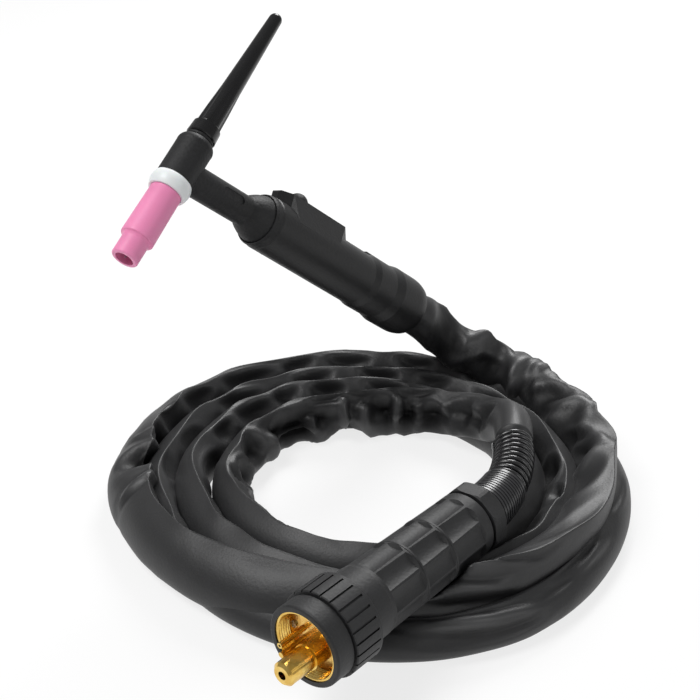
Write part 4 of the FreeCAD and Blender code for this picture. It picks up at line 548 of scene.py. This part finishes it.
def sheath_rings(settings):
    """Rings of the sheath: at each station the point at angle c from the crest is a sin c |sin(c / 2)|^0.5 / 0.8 across
    and b (cos c + 0.08 exp(-(c / 0.35)^2)) up, a drop with a pressed crest that becomes an ellipse towards both ends.
    The crest is turned by the lean and by a wander, 50 fold sin(s / 0.0085 + 1.4 sin(s / 0.027)) - 36 dip at the
    distance s, and b is lowered by 0.3 dip. Folds are added outwards, and what would sink into the floor lies on it."""
    rows = np.array(list(RISER) + coil_rows() + list(TAIL))
    rows[:, :3] += COIL_CENTRE
    line, station = evenly(spline_points("cable_line", rows[:, :3]), RING_STEP)
    anchor = np.array([np.argmin(np.linalg.norm(line[low:low + ROW_SEARCH] - row[:3], axis=1)) + low
                       for low, row in zip(row_starts(line, rows), rows)])
    anchor = np.maximum.accumulate(anchor)
    across, high, lean, fold = (smoothed(np.interp(station, station[anchor], rows[:, k]), 5) for k in (3, 4, 5, 6))
    onward = unit(np.gradient(line, axis=0))
    outward = unit(np.cross((0, 0, 1), onward))
    upward = np.cross(onward, outward)
    angle = np.linspace(0, 2 * math.pi, RING_POINTS, endpoint=False)[None]
    distance = station[:, None]
    marked = [(np.interp(row + len(RISER), np.arange(len(rows)), station[anchor]), *place) for row, *place in FOLDS]
    dip = sum(depth * np.exp(-((station - middle) / long) ** 2)
              for middle, turn, long, wide, slant, depth in marked
              if depth > 0 and DIP_ANGLES[0] < turn < DIP_ANGLES[1])
    dip = smoothed(np.minimum(dip, DIP_MOST), 3)
    sway = np.sin(distance / WANDER_LENGTH + WANDER_SWAY * np.sin(distance / WANDER_SWELL))
    wander = sway * fold[:, None] * WANDER_BY_FOLD - dip[:, None] * WANDER_BY_DIP
    crest = np.mod(angle - math.pi / 2 - wander + math.pi, 2 * math.pi) - math.pi
    loose = np.clip(np.minimum(station, station[-1] - station) / ROUND_ENDS, 0, 1)[:, None]
    drop = np.abs(np.sin(crest / 2)) ** DROP_POWER
    x = -across[:, None] * np.sin(crest) * (1 - loose + loose * drop / DROP_SCALE)
    y = (high - DIP_SHARE * dip)[:, None] * (np.cos(crest) + CREST_RISE * loose * np.exp(-(crest / CREST_WIDTH) ** 2))
    height = fold_field(distance, angle, stray_folds(station, fold, settings.seed) + marked, MEAN_RADIUS)
    height *= settings.folds
    size = np.sqrt(x * x + y * y)
    grown = np.minimum(size + height, LOOSEST) / size
    x, y = x * grown, y * grown
    tilt = np.radians(lean)[:, None] + wander
    x, y = x * np.cos(tilt) - y * np.sin(tilt), x * np.sin(tilt) + y * np.cos(tilt)
    rings = line[:, None] + x[..., None] * outward[:, None] + y[..., None] * upward[:, None]
    rings = pressed_under_connector(rings)
    rings[..., 2] = np.maximum(rings[..., 2], FLOOR_Z + CLEARANCE)
    # The last value is the depth of the folds, 1 at full depth, which sets the sheath's painted shade and painted light
    return line, rings, -height / FULL_SHADE_DEPTH


def pressed_under_connector(rings):
    """Rings that lie under the connector's weight: no point is higher than h - sqrt(R^2 - d^2), where h is the height
    of the connector's axis, R its radius at that station and d the distance beside the axis."""
    place = rings - CONNECTOR_FRONT
    beside = place[..., 0] * CONNECTOR_AXIS[1] - place[..., 1] * CONNECTOR_AXIS[0]
    radius = np.interp(place @ CONNECTOR_AXIS, CONNECTOR_STATIONS, CONNECTOR_RADII)
    drop = np.sqrt(np.maximum(radius ** 2 - beside ** 2, 0))
    rings[..., 2] = np.where(drop > 0, np.minimum(rings[..., 2], CONNECTOR_FRONT[2] - drop), rings[..., 2])
    return rings


def row_starts(line, rows):
    """Where along the line to look for each row: the share of the rows' own length that it lies at, less a margin."""
    reach = np.r_[0, np.cumsum(np.linalg.norm(np.diff(rows[:, :3], axis=0), axis=1))]
    return np.maximum((reach / reach[-1] * len(line)).astype(int) - ROW_SEARCH // 2, 0)


class TORCH_OT_sheathed_cable(bpy.types.Operator):
    """Make the loose leatherette sheath over the cable, from the handle round the coil to the kink spring"""
    bl_idname = "torch.sheathed_cable"
    bl_label = "Sheathed cable"

    def execute(self, context):
        settings = context.scene.torch_cable
        colour = tuple(settings.colour)
        leather = finish("leatherette", "moulded_grain",
                         {"Scale": 700.0, "Cells": 0.6, "Colour": colour, "Contrast": 1.5, "Roughness": 0.49,
                          "Spread": 0.25}, {"Specular IOR Level": 0.55, "Sheen Weight": 0.03}, 0.5, 0.0002)
        # Painted shade in the sheath's hollows and painted light on its ridges, set by the depth of its folds
        paint_shade_in_hollows(leather, 0.55)
        line, rings, hollow = sheath_rings(settings)
        sheath = closed_tube("cable_sheath", rings, leather)
        # Depth of the folds at each point, which sets the sheath's painted shade and painted light
        sheath.data.attributes.new("hollow", "FLOAT", "POINT").data.foreach_set("value", np.r_[hollow.ravel(), 0, 0])
        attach(sheath, "torch")
        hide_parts("cable_riser", "cable_coil", "cable_tail")
        return {"FINISHED"}


# Finishes of the CAD pieces


class TORCH_OT_handset(bpy.types.Operator):
    """Finish the head, nozzle, cap, handle and trigger"""
    bl_idname = "torch.handset"
    bl_label = "Handset"

    def execute(self, context):
        colours = context.scene.torch_finishes
        rubber, plastic, pink = tuple(colours.rubber), tuple(colours.plastic), tuple(colours.ceramic)
        dress(finish("moulded_rubber", "moulded_grain",
                     {"Scale": 620.0, "Cells": 0.8, "Colour": rubber, "Contrast": 2.6, "Roughness": 0.56,
                      "Spread": 0.3}, {"Specular IOR Level": 0.32}, 0.7, 0.0003),
              "head_insulation", "handle_front_ring", "trigger_button", "cap_oring", "rear_bush")
        dress(finish("handle_plastic", "moulded_grain",
                     {"Scale": 680.0, "Cells": 0.6, "Colour": plastic, "Contrast": 2.4, "Roughness": 0.48,
                      "Spread": 0.3}, {"Specular IOR Level": 0.40}, 0.55, 0.0002),
              "handle_left_shell", "handle_right_shell")
        dress(finish("cap_phenolic", "moulded_grain",
                     {"Scale": 900.0, "Cells": 0.2, "Colour": (0.0045, 0.0045, 0.005), "Contrast": 1.6,
                      "Roughness": 0.26, "Spread": 0.3}, {"Specular IOR Level": 0.34, "Coat Weight": 0.12,
                      "Coat Roughness": 0.1}, 0.15, 0.0002,
                     HEAD_FRAME), "back_cap")
        dress(finish("pink_alumina", "moulded_grain",
                     {"Scale": 700.0, "Cells": 0.3, "Colour": pink, "Contrast": 0.10, "Roughness": 0.42,
                      "Spread": 0.15}, {"Specular IOR Level": 0.45, "Coat Weight": 0.1, "Coat Roughness": 0.3,
                      "Subsurface Weight": 0.08, "Subsurface Radius": (0.004, 0.002, 0.002)}, 0.12, 0.0002), "nozzle")
        dress(finish("white_gasket", "moulded_grain",
                     {"Scale": 500.0, "Cells": 0.2, "Colour": (0.86, 0.87, 0.87), "Contrast": 0.05,
                      "Roughness": 0.38, "Spread": 0.1}, {"Subsurface Weight": 0.06}, 0.1, 0.0002),
              "heat_shield_gasket")
        dress(finish("copper_parts", "turned_lines",
                     {"Colour": (0.80, 0.34, 0.16), "Dark Colour": (0.32, 0.11, 0.06), "Roughness": 0.3},
                     {"Metallic": 1.0}, 0.2, 0.0001, HEAD_FRAME),
              "collet_body", "collet", "torch_head_core", "neck_tube", "power_cable_fitting")
        dress(finish("tungsten", "turned_lines",
                     {"Scale": 2500.0, "Colour": (0.55, 0.53, 0.50), "Dark Colour": (0.30, 0.29, 0.28),
                      "Roughness": 0.25}, {"Metallic": 1.0}, 0.1, 0.0001, HEAD_FRAME), "electrode")
        dress(finish("zinc_plated_steel", "turned_lines",
                     {"Scale": 700.0, "Colour": (0.70, 0.69, 0.66), "Dark Colour": (0.42, 0.41, 0.39),
                      "Roughness": 0.25}, {"Metallic": 1.0}, 0.1, 0.0001),
              "handle_screws", "cable_crimp_ferrule", "switch_terminals")
        dress(finish("inner_plastic", "moulded_grain",
                     {"Scale": 1500.0, "Colour": (0.05, 0.05, 0.055), "Contrast": 0.3, "Roughness": 0.5}, {}, 0.2),
              "micro_switch", "switch_carrier", "switch_plunger", "power_cable_front", "trigger_lead")
        return {"FINISHED"}


class TORCH_OT_connector(bpy.types.Operator):
    """Finish the connector, its contacts, its rear nut, sleeve and kink spring"""
    bl_idname = "torch.connector"
    bl_label = "Connector"

    def execute(self, context):
        colours = context.scene.torch_finishes
        plastic, brass = tuple(colours.connector), tuple(colours.brass)
        dress(finish("connector_plastic", "moulded_grain",
                     {"Scale": 680.0, "Cells": 0.8, "Colour": plastic, "Contrast": 2.2, "Roughness": 0.54,
                      "Spread": 0.3}, {"Specular IOR Level": 0.42}, 0.55, 0.0002),
              "nut_grip", "connector_handle", "connector_rear_nut", "insulating_body")
        dress(finish("turned_brass", "turned_lines",
                     {"Scale": 500.0, "Colour": brass, "Dark Colour": (0.72, 0.45, 0.10), "Roughness": 0.13,
                      "Spread": 0.25}, {"Metallic": 1.0}, 0.25, 0.0001, CONNECTOR_FRAME),
              "nut_insert", "centre_plug", "stem_nut", "connector_crimp", "control_pin_flat", "control_pin_hollow")
        dress(finish("gilded_disc", "turned_lines",
                     {"Scale": 300.0, "Colour": (1.0, 0.77, 0.32), "Dark Colour": (0.85, 0.55, 0.16),
                      "Roughness": 0.22, "Spread": 0.3}, {"Metallic": 1.0}, 0.1, 0.0001), "contact_disc")
        dress(finish("bright_screws", "turned_lines",
                     {"Scale": 400.0, "Colour": (0.74, 0.70, 0.62), "Dark Colour": (0.45, 0.40, 0.32),
                      "Roughness": 0.22}, {"Metallic": 1.0}, 0.1, 0.0001), "disc_screws", "nut_retaining_ring")
        dress(finish("black_spring_steel", "moulded_grain",
                     {"Scale": 600.0, "Cells": 0.2, "Colour": (0.010, 0.010, 0.011), "Contrast": 0.4,
                      "Roughness": 0.24, "Spread": 0.1}, {"Coat Weight": 0.3, "Coat Roughness": 0.2}, 0.08),
              "kink_spring")
        dress(finish("ribbed_sleeve", "moulded_grain",
                     {"Scale": 1200.0, "Colour": (0.022, 0.022, 0.024), "Contrast": 0.3, "Roughness": 0.3,
                      "Spread": 0.1}, {"Specular IOR Level": 0.6}, 0.15), "spring_sleeve")
        dress(finish("cable_jacket", "moulded_grain",
                     {"Scale": 1200.0, "Colour": (0.02, 0.02, 0.022), "Contrast": 0.3, "Roughness": 0.5}, {}, 0.2),
              "cable_core_rear", "pilot_wires")
        return {"FINISHED"}


# Studio


def soft_light(name, place, target, size, power):
    """Square area light that faces its target."""
    light = bpy.data.lights.new(name, "AREA")
    light.size = size
    light.energy = power
    lamp = bpy.data.objects.new(name, light)
    lamp.location = place
    lamp.rotation_euler = (Vector(target) - Vector(place)).to_track_quat("-Z", "Y").to_euler()
    bpy.context.scene.collection.objects.link(lamp)


def seen_white(tree, shader_socket, white, share=1.0, mirrored=1.0):
    """Mix of a shader with plain white for rays from the camera and, by the mirrored share, from shiny surfaces."""
    path = tree.nodes.new("ShaderNodeLightPath")
    seen = maths(tree, "MAXIMUM", path.outputs["Is Camera Ray"],
                 maths(tree, "MAXIMUM", maths(tree, "MULTIPLY", path.outputs["Is Glossy Ray"], mirrored),
                       path.outputs["Is Transmission Ray"]))
    mix = tree.nodes.new("ShaderNodeMixShader")
    tree.links.new(maths(tree, "MULTIPLY", seen, share), mix.inputs[0])
    tree.links.new(shader_socket, mix.inputs[1])
    white.inputs["Strength"].default_value = 1.0
    tree.links.new(white.outputs[0], mix.inputs[2])
    return mix.outputs[0]


class TORCH_OT_stage(bpy.types.Operator):
    """Set the camera, the white floor and the soft studio lights"""
    bl_idname = "torch.stage"
    bl_label = "Stage"

    def execute(self, context):
        scene, settings = context.scene, context.scene.torch_stage
        camera = bpy.data.cameras.new("camera")
        camera.lens, camera.sensor_width, camera.clip_start = settings.lens, 36.0, 0.01
        view = bpy.data.objects.new("camera", camera)
        view.location = settings.camera
        view.rotation_euler = (math.pi / 2 - settings.pitch, 0, 0)
        scene.collection.objects.link(view)
        scene.camera = view

        floor_look = bpy.data.materials.new("studio_floor")
        floor_look.use_nodes = True
        tree = floor_look.node_tree
        shader = tree.nodes["Principled BSDF"]
        shader.inputs["Base Color"].default_value = (*settings.floor, 1)
        shader.inputs["Roughness"].default_value = 0.7
        shader.inputs["Specular IOR Level"].default_value = 0.1
        white = tree.nodes.new("ShaderNodeEmission")
        tree.links.new(seen_white(tree, shader.outputs[0], white, share=0.78),
                       tree.nodes["Material Output"].inputs["Surface"])
        corner = 4.0             # half the floor's side
        points = np.array([(-corner, -corner, 0), (corner, -corner, 0), (corner, corner, 0), (-corner, corner, 0)])
        floor = mesh_object("studio_floor", points + (0, 0, FLOOR_Z), [[0, 1, 2, 3]], floor_look, False)

        world = bpy.data.worlds.new("studio")
        world.use_nodes = True
        scene.world = world
        tree = world.node_tree
        ambient = tree.nodes["Background"]
        ambient.inputs["Color"].default_value = (1, 1, 1, 1)
        ambient.inputs["Strength"].default_value = 0.20
        white = tree.nodes.new("ShaderNodeBackground")
        tree.links.new(seen_white(tree, ambient.outputs[0], white, mirrored=0.25),
                       tree.nodes["World Output"].inputs["Surface"])

        target = tuple(COIL_CENTRE)
        soft_light("key_light", (-0.75, -0.35, 1.35), target, 0.7, 16.0)
        soft_light("fill_light", (1.1, -0.9, 0.6), target, 0.7, 3.0)
        soft_light("back_light", (0.35, 1.1, 1.0), target, 0.6, 18.0)
        scene.view_settings.view_transform = "Standard"
        return {"FINISHED"}


class TORCH_PT_panel(bpy.types.Panel):
    bl_idname = "TORCH_PT_panel"
    bl_label = "TIG torch"
    bl_space_type = "VIEW_3D"
    bl_region_type = "UI"
    bl_category = "Torch"

    def draw(self, context):
        layout = self.layout
        for group in (context.scene.torch_cable, context.scene.torch_finishes, context.scene.torch_stage):
            box = layout.box()
            for name in group.__annotations__:
                box.prop(group, name)
        for operator in STEPS:
            layout.operator(operator.bl_idname)


STEPS = (TORCH_OT_effects, TORCH_OT_sheathed_cable, TORCH_OT_handset, TORCH_OT_connector, TORCH_OT_stage)
CLASSES = (TorchCable, TorchFinishes, TorchStage, *STEPS, TORCH_PT_panel)


def register():
    for item in CLASSES:
        bpy.utils.register_class(item)
    bpy.types.Scene.torch_cable = PointerProperty(type=TorchCable)
    bpy.types.Scene.torch_finishes = PointerProperty(type=TorchFinishes)
    bpy.types.Scene.torch_stage = PointerProperty(type=TorchStage)


def unregister():
    del bpy.types.Scene.torch_stage, bpy.types.Scene.torch_finishes, bpy.types.Scene.torch_cable
    for item in reversed(CLASSES):
        bpy.utils.unregister_class(item)


def main():
    register()
    for operator in STEPS:
        area, name = operator.bl_idname.split(".")
        getattr(getattr(bpy.ops, area), name)()


if __name__ == "__main__":
    main()
